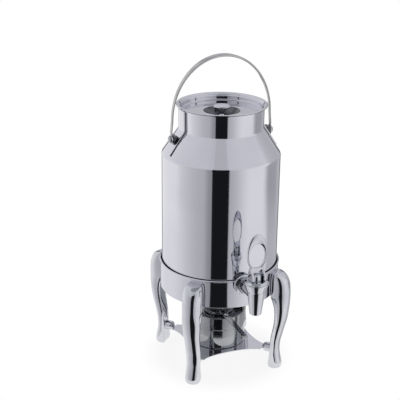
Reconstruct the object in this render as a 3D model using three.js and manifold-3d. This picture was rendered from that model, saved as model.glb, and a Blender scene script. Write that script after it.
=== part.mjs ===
// A milk urn of polished stainless steel: a churn-shaped urn with a bail, a recessed lid and a loop-lever
// tap. It lifts out of a collar on four cast cabriole legs, which carry a plate with a spirit burner.
// Millimetres, +Z up, the floor at z = 0. The tap faces -Y, the bail's pivots lie on X.
import * as THREE from "three";
import { mergeVertices } from "three/addons/utils/BufferGeometryUtils.js";
import Module from "manifold-3d";

const wasm = await Module();
wasm.setup();

// Fits and fineness
const SEAT_GAP = 0.3; // between pieces that touch
const RUNNING_GAP = 0.3; // round a pin or stem that turns or slides
const OVERRUN = 2; // how far a cutter passes the face that it cuts
const FULL_TURN = 2 * Math.PI;
const QUARTER_TURN = Math.PI / 2;
const RIGHT_ANGLE = 90; // degrees, which manifold's rotate takes
const MERGE_REACH = 1e-4; // corners closer than this are one
const ROUND_SIDES = 40; // sides of the urn, the lid and the collar
const SMALL_SIDES = 16; // sides of pins, screws and small turned pieces
const BURNER_SIDES = 32;
const TAP_SIDES = 28;
const PIN_SIDES = 12;
const NUT_SIDES = 6;
const CORNER_STEPS = 2; // facets in a rounded corner

// Urn
const URN_RADIUS = 100;
const URN_WALL = 1.2;
const BODY_HEIGHT = 239.5; // of the urn's side, from its foot to the shoulder
const SHOULDER_RISE = 44;
const SHOULDER_STEP = 29.3; // how far the shoulder draws in
const SHOULDER_FILLET = 9;
const NECK_HEIGHT = 36.6;
const NECK_FILLET = 6;
const MOUTH_LIP = 2.8; // how far the mouth is turned out
const BOTTOM_RISE = 10; // of the bottom above the urn's foot
const BOTTOM_RIM = 9; // height of the bottom's turned-down rim

// Lid
const LID_OVERHANG = 2.7; // of the lid's brim beyond the mouth's lip
const LID_STAND = 2.8; // of the lid's rim above the mouth
const LID_WALL = 1.2;
const LID_PLUG_GAP = 0.45; // between the lid's wall and the neck
const LID_FLOOR_DROP = 11.9; // of the lid's floor below its rim
const LID_CORNER = 2.2;
const LID_BRIM_DIP = 0.5; // of the brim's inner edge below its crown
const LID_BRIM_WIDTH = 5;
const LID_THROAT = 5; // depth of the slope inside the brim
const DISH_RADIUS = 31;
const DISH_DEPTH = 11;
const DISH_STEPS = 4;
const DISH_SOCKET = 7.5; // flat round the knob's foot
const KNOB_RADIUS = 14.8;
const KNOB_TOP_DROP = 1.8; // of the knob below the lid's rim
const KNOB_DISC = 4; // thickness of the knob's mushroom
const KNOB_FOOT_RADIUS = 7;
const KNOB_WAIST_RADIUS = 4.2;
const KNOB_BORE_DEPTH = 10;
const KNOB_SCREW_RADIUS = 2;
const KNOB_SCREW_HEAD_RADIUS = 4.6;
const KNOB_SCREW_HEAD = 2.4;
const KNOB_SIDES = 20;
const KNOB_STEPS = 4; // facets in the knob's crown
const KNOB_EDGE_TURN = Math.PI / 6; // how far the knob's round edge runs below its widest point
const KNOB_FLARE_SHARES = [[0.12, 0.55], [0.35, 0.1], [0.6, 0], [0.85, 0.25]]; // up the stem, and out

// Straps, pivot blocks and bail
const STRAP_WIDTH = 28;
const STRAP_THICKNESS = 1.5;
const STRAP_TOP_GAP = 1.4; // below the mouth's lip
const STRAP_STOP = 3.7; // of the strap's end short of the urn's side
const PIVOT_RISE = 30.5; // of the pivot above the shoulder's foot
const PIVOT_RADIUS = 2.8;
const PIVOT_CAP_RADIUS = 6;
const PIVOT_CAP = 3.6;
const PIVOT_GRIP = 2.2; // of the stud in its cap
const BLOCK_WIDTH = 17;
const BLOCK_DEPTH = 6.6;
const BLOCK_RISE = 6.4; // of the block's top above the pivot
const BLOCK_BEVEL = 1.5;
const BAIL_STANDOFF = 17.9; // from the neck to the middle of the bail's eye
const BAIL_LEAN = 1.8; // how far each arm leans in between its eye and the arch
const BAIL_UPRIGHT = 12; // height of the flat foot of each arm, which swings past its block
const BAIL_THICKNESS = 2.6;
const BAIL_GRIP_THICKNESS = 4.4;
const BAIL_ARM_WIDTH = 8;
const BAIL_GRIP_WIDTH = 14;
const BAIL_EYE_RADIUS = 7.2;
const BAIL_SPRING = 31.5; // of the arch's foot above the pivot
const BAIL_RISE = 135; // of the bail's top above the pivot
const BAIL_EDGE_SHARES = [[1, -0.62], [0.55, -1], [-0.55, -1], [-1, -0.62]]; // across and deep, half round
const BAIL_STEPS = 32;

// Collar that the urn stands in
const COLLAR_CLEARANCE = 1.8; // between the urn and the collar
const COLLAR_WALL = 1.2;
const COLLAR_HEIGHT = 50;
const COLLAR_LIP = 1.2; // how far the rolled lip stands out
const COLLAR_LIP_HEIGHT = 3.2;
const COLLAR_CORNER = 1.6;
const LEDGE_WIDTH = 11; // of the ledge that carries the urn
const NOTCH_HALF_WIDTH = 12.6; // of the slot that lets the tap in

// Legs
const LEG_HEIGHT = 183.5;
const LEG_DROP = 8.5; // of the legs' tops below the collar's
const LEG_BULGE = 29; // from the collar to the front of the knee
const LEG_WIDTH = 34;
const LEG_WALL = 5.5;
const LEG_EDGE = 3; // width of the edges beside the hollow
const LEG_CORNER = 2.6;
const LEG_FRONT_STEPS = 6;
const LEG_HOLLOW_STEPS = 3;
const LEG_BACK_SHARE = 0.4; // of the section's depth, where its round front begins
const LEG_CORNER_STEPS = 2;
const LEG_NAMES = ["front_left", "front_right", "back_right", "back_left"];
const LEG_FIRST_TURN = (-3 * Math.PI) / 4; // of the first leg about the urn's axis
const BOSS_RISE = 1.5; // of the boss's axis above the plate
const BOSS_RADIUS = 8.4;
const BOSS_LENGTH = 17.1; // from the leg's back to the boss's tip
const BOSS_DOME = 7;
const BOSS_STEPS = 4;

// Plate between the legs, and the screws that hold it
const PLATE_TOP_Z = 33;
const PLATE_THICKNESS = 1.5;
const ARM_HALF_WIDTH = 10.5;
const TONGUE_HALF_WIDTH = 5;
const TONGUE_LENGTH = 9.8;
const WAIST_PULL = 20; // how far the plate's edge runs along an arm before it turns
const WAIST_STEPS = 10;
const PLATE_SCREW_SET = 5.2; // from the boss's tip
const PLATE_SCREW_RADIUS = 1.5;
const PLATE_SCREW_REACH = 4.5; // of the screw's end above the boss's axis
const PLATE_SCREW_HEAD_RADIUS = 2.9;
const PLATE_SCREW_HEAD = 2;
const PLATE_SCREW_SINK = 3; // depth of the counterbore

// Burner
const BURNER_RADIUS = 47.6;
const BURNER_HEIGHT = 59.3;
const BURNER_WALL = 1;
const COVER_HEIGHT = 23.6;
const COVER_BEAD = 0.6;
const COVER_DROP = 3.4; // of the cover's deck below its rim
const COVER_CORNER = 2;
const CAN_TOP_GAP = 2; // below the cover's deck
const MOUTH_RADIUS = 22;
const DAMPER_OVERLAP = 3.5; // of the damper over the mouth
const DAMPER_THICKNESS = 1;
const DAMPER_PIVOT_SET = 10.6; // of the damper's pivot inside the burner's side
const HANDLE_WIDTH = 10;
const HANDLE_LENGTH = 78.5; // from the pivot
const HANDLE_CURL = 3;
const CURL_STEPS = 6;
const HANDLE_LIP = 7;
const RIVET_RADIUS = 1.8;
const RIVET_HEAD_RADIUS = 4;
const RIVET_HEAD = 1.8;

// Tap
const TAP_STANDOFF = 52; // from the collar to the tap's axis
const SHANK_RISE = 43; // of the shank above the collar's foot
const SHANK_RADIUS = 8;
const SHANK_BORE = 5;
const SHANK_INSIDE = 14.8; // how far the shank reaches into the urn
const ROSE_RADIUS = 17.2;
const ROSE_THICKNESS = 3;
const ROSE_CLEARANCE = 0.9; // in front of the collar's lip
const ROSE_BOSS_RADIUS = 11;
const ROSE_BEVEL = 1.1;
const WASHER_RADIUS = 13;
const WASHER_THICKNESS = 2;
const BACKNUT_WIDTH = 24; // across flats
const BACKNUT_THICKNESS = 6;
const LOCKNUT_WIDTH = 24; // across flats
const LOCKNUT_THICKNESS = 6;
const SPOUT_DROP = 29.5; // of the spout's foot below the shank's axis, as the heights below are above it
const SPOUT_RADIUS = 9.6;
const SPOUT_BORE = 5.8;
const SPOUT_EDGE = 1.2;
const BARREL_RADIUS = 14.6;
const BARREL_RISE = 11.5;
const CUP_FOOT_RADIUS = 15.6;
const CUP_FOOT_RISE = 13;
const CUP_RADIUS = 20;
const CUP_RISE = 24.4;
const CUP_RIM = 2; // height of the cup's upright rim
const CHAMBER_RADIUS = 11.4;
const CHAMBER_WAIST = 7.9;
const CHAMBER_WAIST_RISE = 7;
const SEAT_DROP = 10.5;
const STEM_RADIUS = 2.4;
const STEM_HEAD_RADIUS = 8;
const STEM_DOME_SHARE = 0.8; // of the head's radius
const STEM_TOP_RISE = 42.5;
const CUP_SEAL_RADIUS = 6.9;
const CUP_SEAL_HEIGHT = 9;
const CUP_SEAL_NECK = 4.2;
const BONNET_HEIGHT = 3.4;
const BONNET_SPIGOT = 6; // of the bonnet inside the barrel
const BONNET_TOP_RADIUS = 15.5;
const PIN_RISE = 36.4;
const PIN_RADIUS = 1.6;
const CHEEK_THICKNESS = 3.6;
const CHEEK_HEEL = 8.5;
const LEVER_RISE = 108.5;
const LEVER_HALF_WIDTH = 17.2;
const LEVER_THICKNESS = 5;
const LEVER_BEVEL = 0.9;
const LEVER_SET_BACK = 1.5; // of the loop behind the pin
const LOOP_RISE = 44;
const LOOP_HOLE_RISE = 50.5;
const LOOP_HOLE_HEIGHT = 41.5;
const LOOP_HOLE_HALF_WIDTH = 13.8;
const LOOP_STEPS = 32;
const BRIDGE_CLEARANCE = 1.6; // of the lever's bridge above the stem's head
const LEVER_TURN = (50 * Math.PI) / 180; // from shut to full flow
const STEM_LIFT = 4;
const CAM_STEPS = 6;

// Sizes and places that follow from these
const neckRadius = URN_RADIUS - SHOULDER_STEP;
const collarRadius = URN_RADIUS + COLLAR_CLEARANCE + COLLAR_WALL;
const collarTopZ = LEG_HEIGHT + LEG_DROP;
const collarFootZ = collarTopZ - COLLAR_HEIGHT;
const urnFootZ = collarFootZ + COLLAR_WALL + SEAT_GAP;
const shoulderFootZ = urnFootZ + BODY_HEIGHT;
const neckFootZ = shoulderFootZ + SHOULDER_RISE;
const mouthZ = neckFootZ + NECK_HEIGHT;
const lidRadius = neckRadius + MOUTH_LIP + LID_OVERHANG;
const lidTopZ = mouthZ + LID_STAND;
const strapEndRadius = URN_RADIUS - STRAP_STOP;
const pivotZ = shoulderFootZ + PIVOT_RISE;
const bailSpan = neckRadius + BAIL_STANDOFF; // from the urn's axis to the middle of the bail's eye
const archSpan = bailSpan - BAIL_LEAN;
const springZ = pivotZ + BAIL_SPRING;
const bailTopZ = pivotZ + BAIL_RISE;
const legBack = collarRadius + SEAT_GAP;
const legTurns = LEG_NAMES.map((_, i) => LEG_FIRST_TURN + (i * FULL_TURN) / LEG_NAMES.length);
const bossZ = PLATE_TOP_Z + BOSS_RISE;
const bossTip = legBack - BOSS_LENGTH;
const tongueEnd = bossTip + TONGUE_LENGTH;
const plateScrewPlace = bossTip + PLATE_SCREW_SET;
const plateScrewTopZ = bossZ + PLATE_SCREW_REACH;
const burnerFootZ = PLATE_TOP_Z + SEAT_GAP;
const burnerTopZ = burnerFootZ + BURNER_HEIGHT;
const skirtZ = burnerTopZ - COVER_HEIGHT;
const damperRadius = MOUTH_RADIUS + DAMPER_OVERLAP;
const damperPivot = BURNER_RADIUS - DAMPER_PIVOT_SET; // in front of the burner's axis
const handleEnd = damperPivot + HANDLE_LENGTH;
const shankZ = collarFootZ + SHANK_RISE;
const tapReach = collarRadius + TAP_STANDOFF; // from the urn's axis to the tap's

// The part's frame: the axis of the urn lies behind the middle of the footprint by this much
const URN_AXIS_Y = (tapReach + CUP_RADIUS - collarRadius - COLLAR_LIP) / 2;

// Metals and seals
const steel = (color, roughness) => new THREE.MeshStandardMaterial({ color, roughness, metalness: 1 });
const POLISHED = steel(0xc9c9d1, 0.08);
const CAST = steel(0xc4c4cc, 0.1);
const BURNER = steel(0xb4b4ba, 0.16);
const FASTENER = steel(0xb9b9c0, 0.25);
const SEAL = new THREE.MeshStandardMaterial({ color: 0xe4e2dc, roughness: 0.6, metalness: 0 });

// A closed geometry as a solid that can be joined and cut.
function solid(geometry) {
  const bare = geometry.index ? geometry.toNonIndexed() : geometry.clone();
  bare.deleteAttribute("normal");
  bare.deleteAttribute("uv");
  const merged = mergeVertices(bare, MERGE_REACH);
  const corners = merged.index.array;
  const triVerts = [];
  for (let i = 0; i < corners.length; i += 3) {
    const [a, b, c] = corners.slice(i, i + 3);
    if (a !== b && b !== c && c !== a) triVerts.push(a, b, c);
  }
  return new wasm.Manifold(
    new wasm.Mesh({
      numProp: 3,
      vertProperties: merged.attributes.position.array,
      triVerts: new Uint32Array(triVerts),
    }),
  );
}

// A named mesh of a solid.
function piece(name, made, material) {
  const { numProp, numVert, vertProperties, triVerts } = made.getMesh();
  const positions = new Float32Array(numVert * 3);
  for (let i = 0; i < numVert; i++)
    positions.set(vertProperties.subarray(i * numProp, i * numProp + 3), i * 3);
  const geometry = new THREE.BufferGeometry();
  geometry.setAttribute("position", new THREE.BufferAttribute(positions, 3));
  geometry.setIndex(new THREE.BufferAttribute(triVerts, 1));
  geometry.computeVertexNormals();
  const mesh = new THREE.Mesh(geometry, material);
  mesh.name = name;
  return mesh;
}

// A solid turned about Z from a profile of [radius, z] that runs anticlockwise.
function turned(profile, sides = ROUND_SIDES) {
  const points = profile.map(([r, z]) => new THREE.Vector2(r, z));
  const onAxis = profile[0][0] === 0 && profile[profile.length - 1][0] === 0;
  if (!onAxis) points.push(points[0].clone());
  return solid(new THREE.LatheGeometry(points, sides).rotateX(QUARTER_TURN));
}

// A round bar about Z between two heights.
const bar = (radius, low, high, sides = SMALL_SIDES) =>
  turned([[0, low], [radius, low], [radius, high], [0, high]], sides);

// A solid that stands on Z, laid along -Y at a height.
const barForward = (made, z) => made.rotate([RIGHT_ANGLE, 0, 0]).translate([0, 0, z]);

// Points of an arc about a centre, from one angle to another.
function arc([x, y], [radiusX, radiusY], from, to, steps) {
  return Array.from({ length: steps + 1 }, (_, i) => {
    const angle = from + ((to - from) * i) / steps;
    return [x + radiusX * Math.cos(angle), y + radiusY * Math.sin(angle)];
  });
}

// A line of points [x, y, radius] with each corner that has a radius rounded.
function rounded(points, steps = CORNER_STEPS) {
  return points.flatMap(([x, y, radius], i) => {
    if (!radius) return [[x, y]];
    const corner = new THREE.Vector2(x, y);
    const before = new THREE.Vector2(...points[i - 1]).sub(corner).normalize();
    const after = new THREE.Vector2(...points[i + 1]).sub(corner).normalize();
    const half = before.angleTo(after) / 2;
    const centre = before.clone().add(after).normalize().multiplyScalar(radius / Math.sin(half)).add(corner);
    const start = before.multiplyScalar(radius / Math.tan(half)).add(corner).sub(centre);
    const end = after.multiplyScalar(radius / Math.tan(half)).add(corner).sub(centre);
    const turn = Math.atan2(start.cross(end), start.dot(end));
    return Array.from({ length: steps + 1 }, (_, k) => {
      const spoke = start.clone().rotateAround(new THREE.Vector2(), (turn * k) / steps);
      return [centre.x + spoke.x, centre.y + spoke.y];
    });
  });
}

// The closed section of a sheet whose right-hand side follows a line of points.
function sheet(line, thickness) {
  const offset = line.map(([x, y], i) => {
    const [ax, ay] = line[Math.max(i - 1, 0)];
    const [bx, by] = line[Math.min(i + 1, line.length - 1)];
    const before = new THREE.Vector2(x - ax, y - ay).normalize();
    const after = new THREE.Vector2(bx - x, by - y).normalize();
    const along = before.add(after).normalize();
    const last = after.lengthSq() > 0 ? after : along;
    const spread = thickness / Math.max(along.dot(last), 1 / 2);
    return [x - along.y * spread, y + along.x * spread];
  });
  return [...line, ...offset.reverse()];
}

// A flat outline raised along Z.
function raised(outline, low, high, bevel = 0) {
  const shape = new THREE.Shape(outline.map(([x, y]) => new THREE.Vector2(x, y)));
  const made = new THREE.ExtrudeGeometry(shape, {
    depth: high - low - 2 * bevel,
    bevelEnabled: bevel > 0,
    bevelThickness: bevel,
    bevelSize: bevel,
    bevelOffset: -bevel,
    bevelSegments: 1,
  });
  return solid(made.translate(0, 0, low + bevel));
}

// The corners of a regular polygon or an oval about a point, without its first one again at the end.
const ring = (centre, radii, corners) => arc(centre, radii, 0, FULL_TURN, corners).slice(0, -1);

// A hexagon's corners from its width across flats.
function hexagon(width) {
  const reach = width / 2 / Math.cos(FULL_TURN / (2 * NUT_SIDES));
  return ring([0, 0], [reach, reach], NUT_SIDES);
}

// A rectangular block between two corners.
function block([x0, y0, z0], [x1, y1, z1]) {
  const made = new THREE.BoxGeometry(x1 - x0, y1 - y0, z1 - z0);
  return solid(made.translate((x0 + x1) / 2, (y0 + y1) / 2, (z0 + z1) / 2));
}

// A solid through a row of closed rings of points, all with the same count, capped flat.
function lofted(rings) {
  const count = rings[0].length;
  const positions = rings.flat().flatMap((p) => [p.x, p.y, p.z]);
  const faces = [];
  for (let i = 0; i + 1 < rings.length; i++)
    for (let k = 0; k < count; k++) {
      const [a, b] = [i * count + k, i * count + ((k + 1) % count)];
      faces.push(a, b, b + count, a, b + count, a + count);
    }
  const cap = (ring, first, flip) => {
    const normal = new THREE.Vector3();
    ring.forEach((p, k) => normal.add(p.clone().cross(ring[(k + 1) % count])));
    const u = ring[1].clone().sub(ring[0]).normalize();
    const v = normal.normalize().clone().cross(u);
    const flat = ring.map((p) => new THREE.Vector2(p.dot(u), p.dot(v)));
    for (const [a, b, c] of THREE.ShapeUtils.triangulateShape(flat, []))
      faces.push(first + a, first + (flip ? c : b), first + (flip ? b : c));
  };
  cap(rings[0], 0, true);
  cap(rings[rings.length - 1], (rings.length - 1) * count, false);
  const geometry = new THREE.BufferGeometry();
  geometry.setAttribute("position", new THREE.Float32BufferAttribute(positions, 3));
  geometry.setIndex(faces);
  return solid(geometry);
}

// Urn
const SHOULDER_SLOPE = SHOULDER_STEP / SHOULDER_RISE; // inwards for each millimetre up
const SHOULDER_STRETCH = Math.hypot(1, SHOULDER_SLOPE);
const shoulderZ = (radius) => shoulderFootZ + (URN_RADIUS - radius) / SHOULDER_SLOPE;
const urnBore = URN_RADIUS - URN_WALL;
const neckBore = neckRadius - URN_WALL;
const shankEnd = urnBore - SHANK_INSIDE; // from the urn's axis
const bottomZ = urnFootZ + BOTTOM_RISE;

// The outside of the urn's wall from its foot to its turned-out mouth.
function urnOutline() {
  const mouth = mouthZ - URN_WALL;
  return rounded([
    [URN_RADIUS, urnFootZ],
    [URN_RADIUS, shoulderFootZ, SHOULDER_FILLET],
    [neckRadius, neckFootZ, NECK_FILLET],
    [neckRadius, mouth, URN_WALL],
    [neckRadius + MOUTH_LIP, mouth],
  ]);
}

function urnWall() {
  const tapHole = barForward(bar(SHANK_RADIUS + SEAT_GAP, 0, URN_RADIUS + OVERRUN), shankZ);
  return piece("urn_wall", turned(sheet(urnOutline(), URN_WALL)).subtract(tapHole), POLISHED);
}

// The bottom, pressed with a turned-down rim that is welded inside the wall.
function urnBottom() {
  const radius = urnBore - SEAT_GAP;
  const rim = bottomZ - BOTTOM_RIM;
  const line = rounded([
    [0, bottomZ],
    [radius, bottomZ, 2 * URN_WALL],
    [radius, rim],
  ]);
  return piece("urn_bottom", turned(sheet(line, -URN_WALL).reverse()), POLISHED);
}

// Lid
const lidFloorZ = lidTopZ - LID_FLOOR_DROP;
const lidWallRadius = neckBore - LID_PLUG_GAP;
const dishFloorZ = lidFloorZ - DISH_DEPTH;
const dishCurve = (DISH_RADIUS ** 2 + DISH_DEPTH ** 2) / (2 * DISH_DEPTH);
const lidSeatZ = mouthZ + SEAT_GAP;

// Half of the dish in the lid's middle, flat where the knob stands, from its middle outwards.
function dishLine(drop) {
  const edge = Math.asin(DISH_RADIUS / dishCurve);
  const socket = Math.asin(DISH_SOCKET / dishCurve);
  const centre = dishFloorZ + dishCurve - drop;
  const [start, end] = [socket - QUARTER_TURN, edge - QUARTER_TURN];
  const bowl = arc([0, centre], [dishCurve, dishCurve], start, end, DISH_STEPS);
  return [[KNOB_SCREW_RADIUS + SEAT_GAP, bowl[0][1]], ...bowl];
}

function lid() {
  const beadRadius = (lidTopZ - lidSeatZ) / 2;
  const beadCentre = [lidRadius - beadRadius, lidTopZ - beadRadius];
  const under = rounded([
    [DISH_RADIUS, lidFloorZ - LID_WALL],
    [lidWallRadius, lidFloorZ - LID_WALL, LID_CORNER + LID_WALL],
    [lidWallRadius, lidSeatZ],
  ]);
  const over = rounded([
    [lidRadius - LID_BRIM_WIDTH, lidTopZ - LID_BRIM_DIP],
    [lidWallRadius - LID_WALL, lidTopZ - LID_THROAT],
    [lidWallRadius - LID_WALL, lidFloorZ, LID_CORNER],
    [DISH_RADIUS, lidFloorZ],
  ]);
  const bead = arc(beadCentre, [beadRadius, beadRadius], -QUARTER_TURN, QUARTER_TURN, 2 * CORNER_STEPS);
  const dish = dishLine(0).reverse().slice(1);
  const profile = [...dishLine(LID_WALL), ...under.slice(1), ...bead, ...over, ...dish];
  return piece("lid", turned(profile), POLISHED);
}

const knobFootZ = dishLine(0)[0][1] + SEAT_GAP;
const knobTopZ = lidTopZ - KNOB_TOP_DROP;

// A mushroom on a stem that flares at both ends, with a blind hole for its screw.
function lidKnob() {
  const discZ = knobTopZ - KNOB_DISC;
  const stem = discZ - knobFootZ;
  const flare = KNOB_FLARE_SHARES.map(([up, out]) => [
    KNOB_WAIST_RADIUS + out * (KNOB_FOOT_RADIUS - KNOB_WAIST_RADIUS),
    knobFootZ + up * stem,
  ]);
  const crown = arc(
    [0, discZ + KNOB_DISC / 2],
    [KNOB_RADIUS, KNOB_DISC / 2],
    -KNOB_EDGE_TURN,
    QUARTER_TURN,
    KNOB_STEPS,
  );
  const bore = KNOB_SCREW_RADIUS + SEAT_GAP;
  const profile = [
    [0, knobFootZ + KNOB_BORE_DEPTH],
    [bore, knobFootZ + KNOB_BORE_DEPTH],
    [bore, knobFootZ],
    [KNOB_FOOT_RADIUS, knobFootZ],
    ...flare,
    [KNOB_FOOT_RADIUS, discZ],
    ...crown.slice(0, -1),
    [0, knobTopZ],
  ];
  return piece("lid_knob", turned(profile, KNOB_SIDES), POLISHED);
}

// A pan-head screw with its head down, from the heights of its seat and end and the sizes of shank and head.
function panScrew(seat, end, shank, head, height) {
  const low = seat - height;
  return turned(
    [
      [0, low],
      [head - height / 2, low],
      [head, low + height / 2],
      [head, seat],
      [shank, seat],
      [shank, end],
      [0, end],
    ],
    SMALL_SIDES,
  );
}

function lidKnobScrew() {
  const seat = knobFootZ - LID_WALL - 2 * SEAT_GAP;
  const end = knobFootZ + KNOB_BORE_DEPTH - SEAT_GAP;
  const made = panScrew(seat, end, KNOB_SCREW_RADIUS, KNOB_SCREW_HEAD_RADIUS, KNOB_SCREW_HEAD);
  return piece("lid_knob_screw", made, FASTENER);
}

// Straps, pivot blocks, pivot caps and bail
const strapTop = mouthZ - URN_WALL - STRAP_TOP_GAP;
const strapRise = SEAT_GAP + STRAP_THICKNESS; // of the strap's face off the urn

// A sheet band that lies on the neck and the shoulder, on the side of +X.
function strapSolid() {
  const line = rounded([
    [neckRadius + SEAT_GAP, strapTop],
    [neckRadius + SEAT_GAP, neckFootZ + SEAT_GAP * SHOULDER_SLOPE, NECK_FILLET - SEAT_GAP],
    [strapEndRadius, shoulderZ(strapEndRadius) + SEAT_GAP * SHOULDER_STRETCH / SHOULDER_SLOPE],
  ]);
  const half = STRAP_WIDTH / 2;
  const band = turned(sheet(line, STRAP_THICKNESS));
  return band.intersect(block([0, -half, shoulderFootZ], [URN_RADIUS, half, mouthZ]));
}

// Height of the strap's outer face over the shoulder at a distance from the urn's axis.
const strapFaceZ = (radius) => shoulderZ(radius) + (strapRise * SHOULDER_STRETCH) / SHOULDER_SLOPE;
const bailInner = bailSpan - BAIL_THICKNESS / 2;
const bailOuter = bailSpan + BAIL_THICKNESS / 2;
const blockFace = bailInner - SEAT_GAP;

// A wedge on the strap with a level top and a stud on its upright outer face, on the side of +X.
function blockSolid() {
  const back = blockFace - BLOCK_DEPTH;
  const seat = (SEAT_GAP * SHOULDER_STRETCH) / SHOULDER_SLOPE;
  const top = pivotZ + BLOCK_RISE;
  const outline = [
    [back, strapFaceZ(back) + seat],
    [blockFace, strapFaceZ(blockFace) + seat],
    [blockFace, top],
    [back + BLOCK_BEVEL, top],
    [back, top - BLOCK_BEVEL / 2],
  ];
  const wedge = raised(outline, -BLOCK_WIDTH / 2, BLOCK_WIDTH / 2).rotate([RIGHT_ANGLE, 0, 0]);
  const stud = bar(PIVOT_RADIUS, blockFace - BLOCK_BEVEL, bailOuter + SEAT_GAP + PIVOT_GRIP);
  return wedge.add(stud.rotate([0, RIGHT_ANGLE, 0]).translate([0, 0, pivotZ]));
}

// A domed cap on the stud outside the bail's eye, on the side of +X.
function pivotCapSolid() {
  const seat = bailOuter + SEAT_GAP;
  const bore = PIVOT_RADIUS + SEAT_GAP;
  const dome = arc([0, seat], [PIVOT_CAP_RADIUS, PIVOT_CAP], 0, QUARTER_TURN, 2 * CORNER_STEPS);
  const profile = [
    [0, seat + PIVOT_GRIP + SEAT_GAP],
    [bore, seat + PIVOT_GRIP + SEAT_GAP],
    [bore, seat],
    ...dome.slice(0, -1),
    [0, seat + PIVOT_CAP],
  ];
  return turned(profile, SMALL_SIDES).rotate([0, RIGHT_ANGLE, 0]).translate([0, 0, pivotZ]);
}

// A flattened bar: two arms that end in eyes, and an arch that is broadest at the grip.
function bail() {
  const thicken = BAIL_GRIP_THICKNESS - BAIL_THICKNESS;
  const rise = bailTopZ - BAIL_GRIP_THICKNESS / 2 - springZ;
  const sectionShares = [...BAIL_EDGE_SHARES, ...BAIL_EDGE_SHARES.map(([across, deep]) => [-across, -deep])];
  const section = (x, z, angle) => {
    const swell = Math.sin(angle) ** 2;
    const width = BAIL_ARM_WIDTH + swell * (BAIL_GRIP_WIDTH - BAIL_ARM_WIDTH);
    const depth = BAIL_THICKNESS + swell * thicken;
    const out = new THREE.Vector2(rise * Math.cos(angle), archSpan * Math.sin(angle)).normalize();
    return sectionShares.map(([across, deep]) => {
      const [y, push] = [(across * width) / 2, (deep * depth) / 2];
      return new THREE.Vector3(x + out.x * push, y, z + out.y * push);
    });
  };
  const arch = arc([0, springZ], [archSpan, rise], 0, Math.PI, BAIL_STEPS);
  const rings = [
    section(bailSpan, pivotZ, 0),
    section(bailSpan, pivotZ + BAIL_UPRIGHT, 0),
    ...arch.map(([x, z], i) => section(x, z, (Math.PI * i) / BAIL_STEPS)),
    section(-bailSpan, pivotZ + BAIL_UPRIGHT, Math.PI),
    section(-bailSpan, pivotZ, Math.PI),
  ];
  const eye = (side) => {
    const reach = side * bailSpan - BAIL_THICKNESS / 2;
    const made = bar(BAIL_EYE_RADIUS, reach, reach + BAIL_THICKNESS);
    return made.rotate([0, RIGHT_ANGLE, 0]).translate([0, 0, pivotZ]);
  };
  const holes = bar(PIVOT_RADIUS + RUNNING_GAP, -bailOuter - OVERRUN, bailOuter + OVERRUN)
    .rotate([0, RIGHT_ANGLE, 0])
    .translate([0, 0, pivotZ]);
  return piece("bail", lofted(rings).add(eye(1)).add(eye(-1)).subtract(holes), POLISHED);
}

// Collar, with a rolled lip, a ledge inside its foot and a slot that opens upwards for the tap.
function collar() {
  const bore = collarRadius - COLLAR_WALL;
  const ledge = collarRadius - LEDGE_WIDTH;
  const lipFoot = collarTopZ - COLLAR_LIP_HEIGHT;
  const profile = rounded([
    [ledge, collarFootZ],
    [collarRadius, collarFootZ, COLLAR_CORNER],
    [collarRadius, lipFoot],
    [collarRadius + COLLAR_LIP, lipFoot + COLLAR_LIP],
    [collarRadius + COLLAR_LIP, collarTopZ - COLLAR_LIP],
    [collarRadius, collarTopZ],
    [bore, collarTopZ - COLLAR_LIP / 2],
    [bore, collarFootZ + COLLAR_WALL],
    [ledge, collarFootZ + COLLAR_WALL],
  ]);
  const slotTop = collarTopZ + OVERRUN - shankZ;
  const slot = [
    ...arc([0, 0], [NOTCH_HALF_WIDTH, NOTCH_HALF_WIDTH], Math.PI, FULL_TURN, 3 * CORNER_STEPS),
    [NOTCH_HALF_WIDTH, slotTop],
    [-NOTCH_HALF_WIDTH, slotTop],
  ];
  const cutter = barForward(raised(slot, 0, collarRadius + COLLAR_LIP + OVERRUN), shankZ);
  return piece("stand_collar", turned(profile).subtract(cutter), POLISHED);
}

// Legs
// Each row: height, back and front as shares of the bulge off the collar, width as a share, and how hollow.
const LEG_SHARES = [
  [0, 0.04, 0.54, 0.56, 0],
  [0.008, -0.03, 0.62, 0.72, 0],
  [0.041, -0.07, 0.65, 0.8, 0],
  [0.093, -0.05, 0.585, 0.76, 0],
  [0.18, -0.02, 0.48, 0.7, 0],
  [0.283, 0.01, 0.51, 0.73, 0.25],
  [0.338, 0.05, 0.585, 0.75, 0.6],
  [0.403, 0.12, 0.68, 0.775, 0.9],
  [0.469, 0.195, 0.785, 0.8, 1],
  [0.534, 0.24, 0.875, 0.85, 1],
  [0.599, 0.25, 0.93, 0.905, 1],
  [0.654, 0.215, 0.965, 0.94, 1],
  [0.708, 0.12, 0.99, 0.965, 1],
  [0.763, 0, 1, 0.985, 1],
  [0.828, 0, 0.99, 1, 1],
  [0.883, 0, 0.955, 0.985, 1],
  [0.916, 0, 0.9, 0.97, 0.95],
  [0.943, 0, 0.82, 0.94, 0.85],
  [0.967, 0, 0.7, 0.9, 0.65],
  [0.986, 0, 0.52, 0.83, 0.3],
  [0.997, 0, 0.33, 0.74, 0],
  [1, 0, 0.2, 0.66, 0],
];
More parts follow.
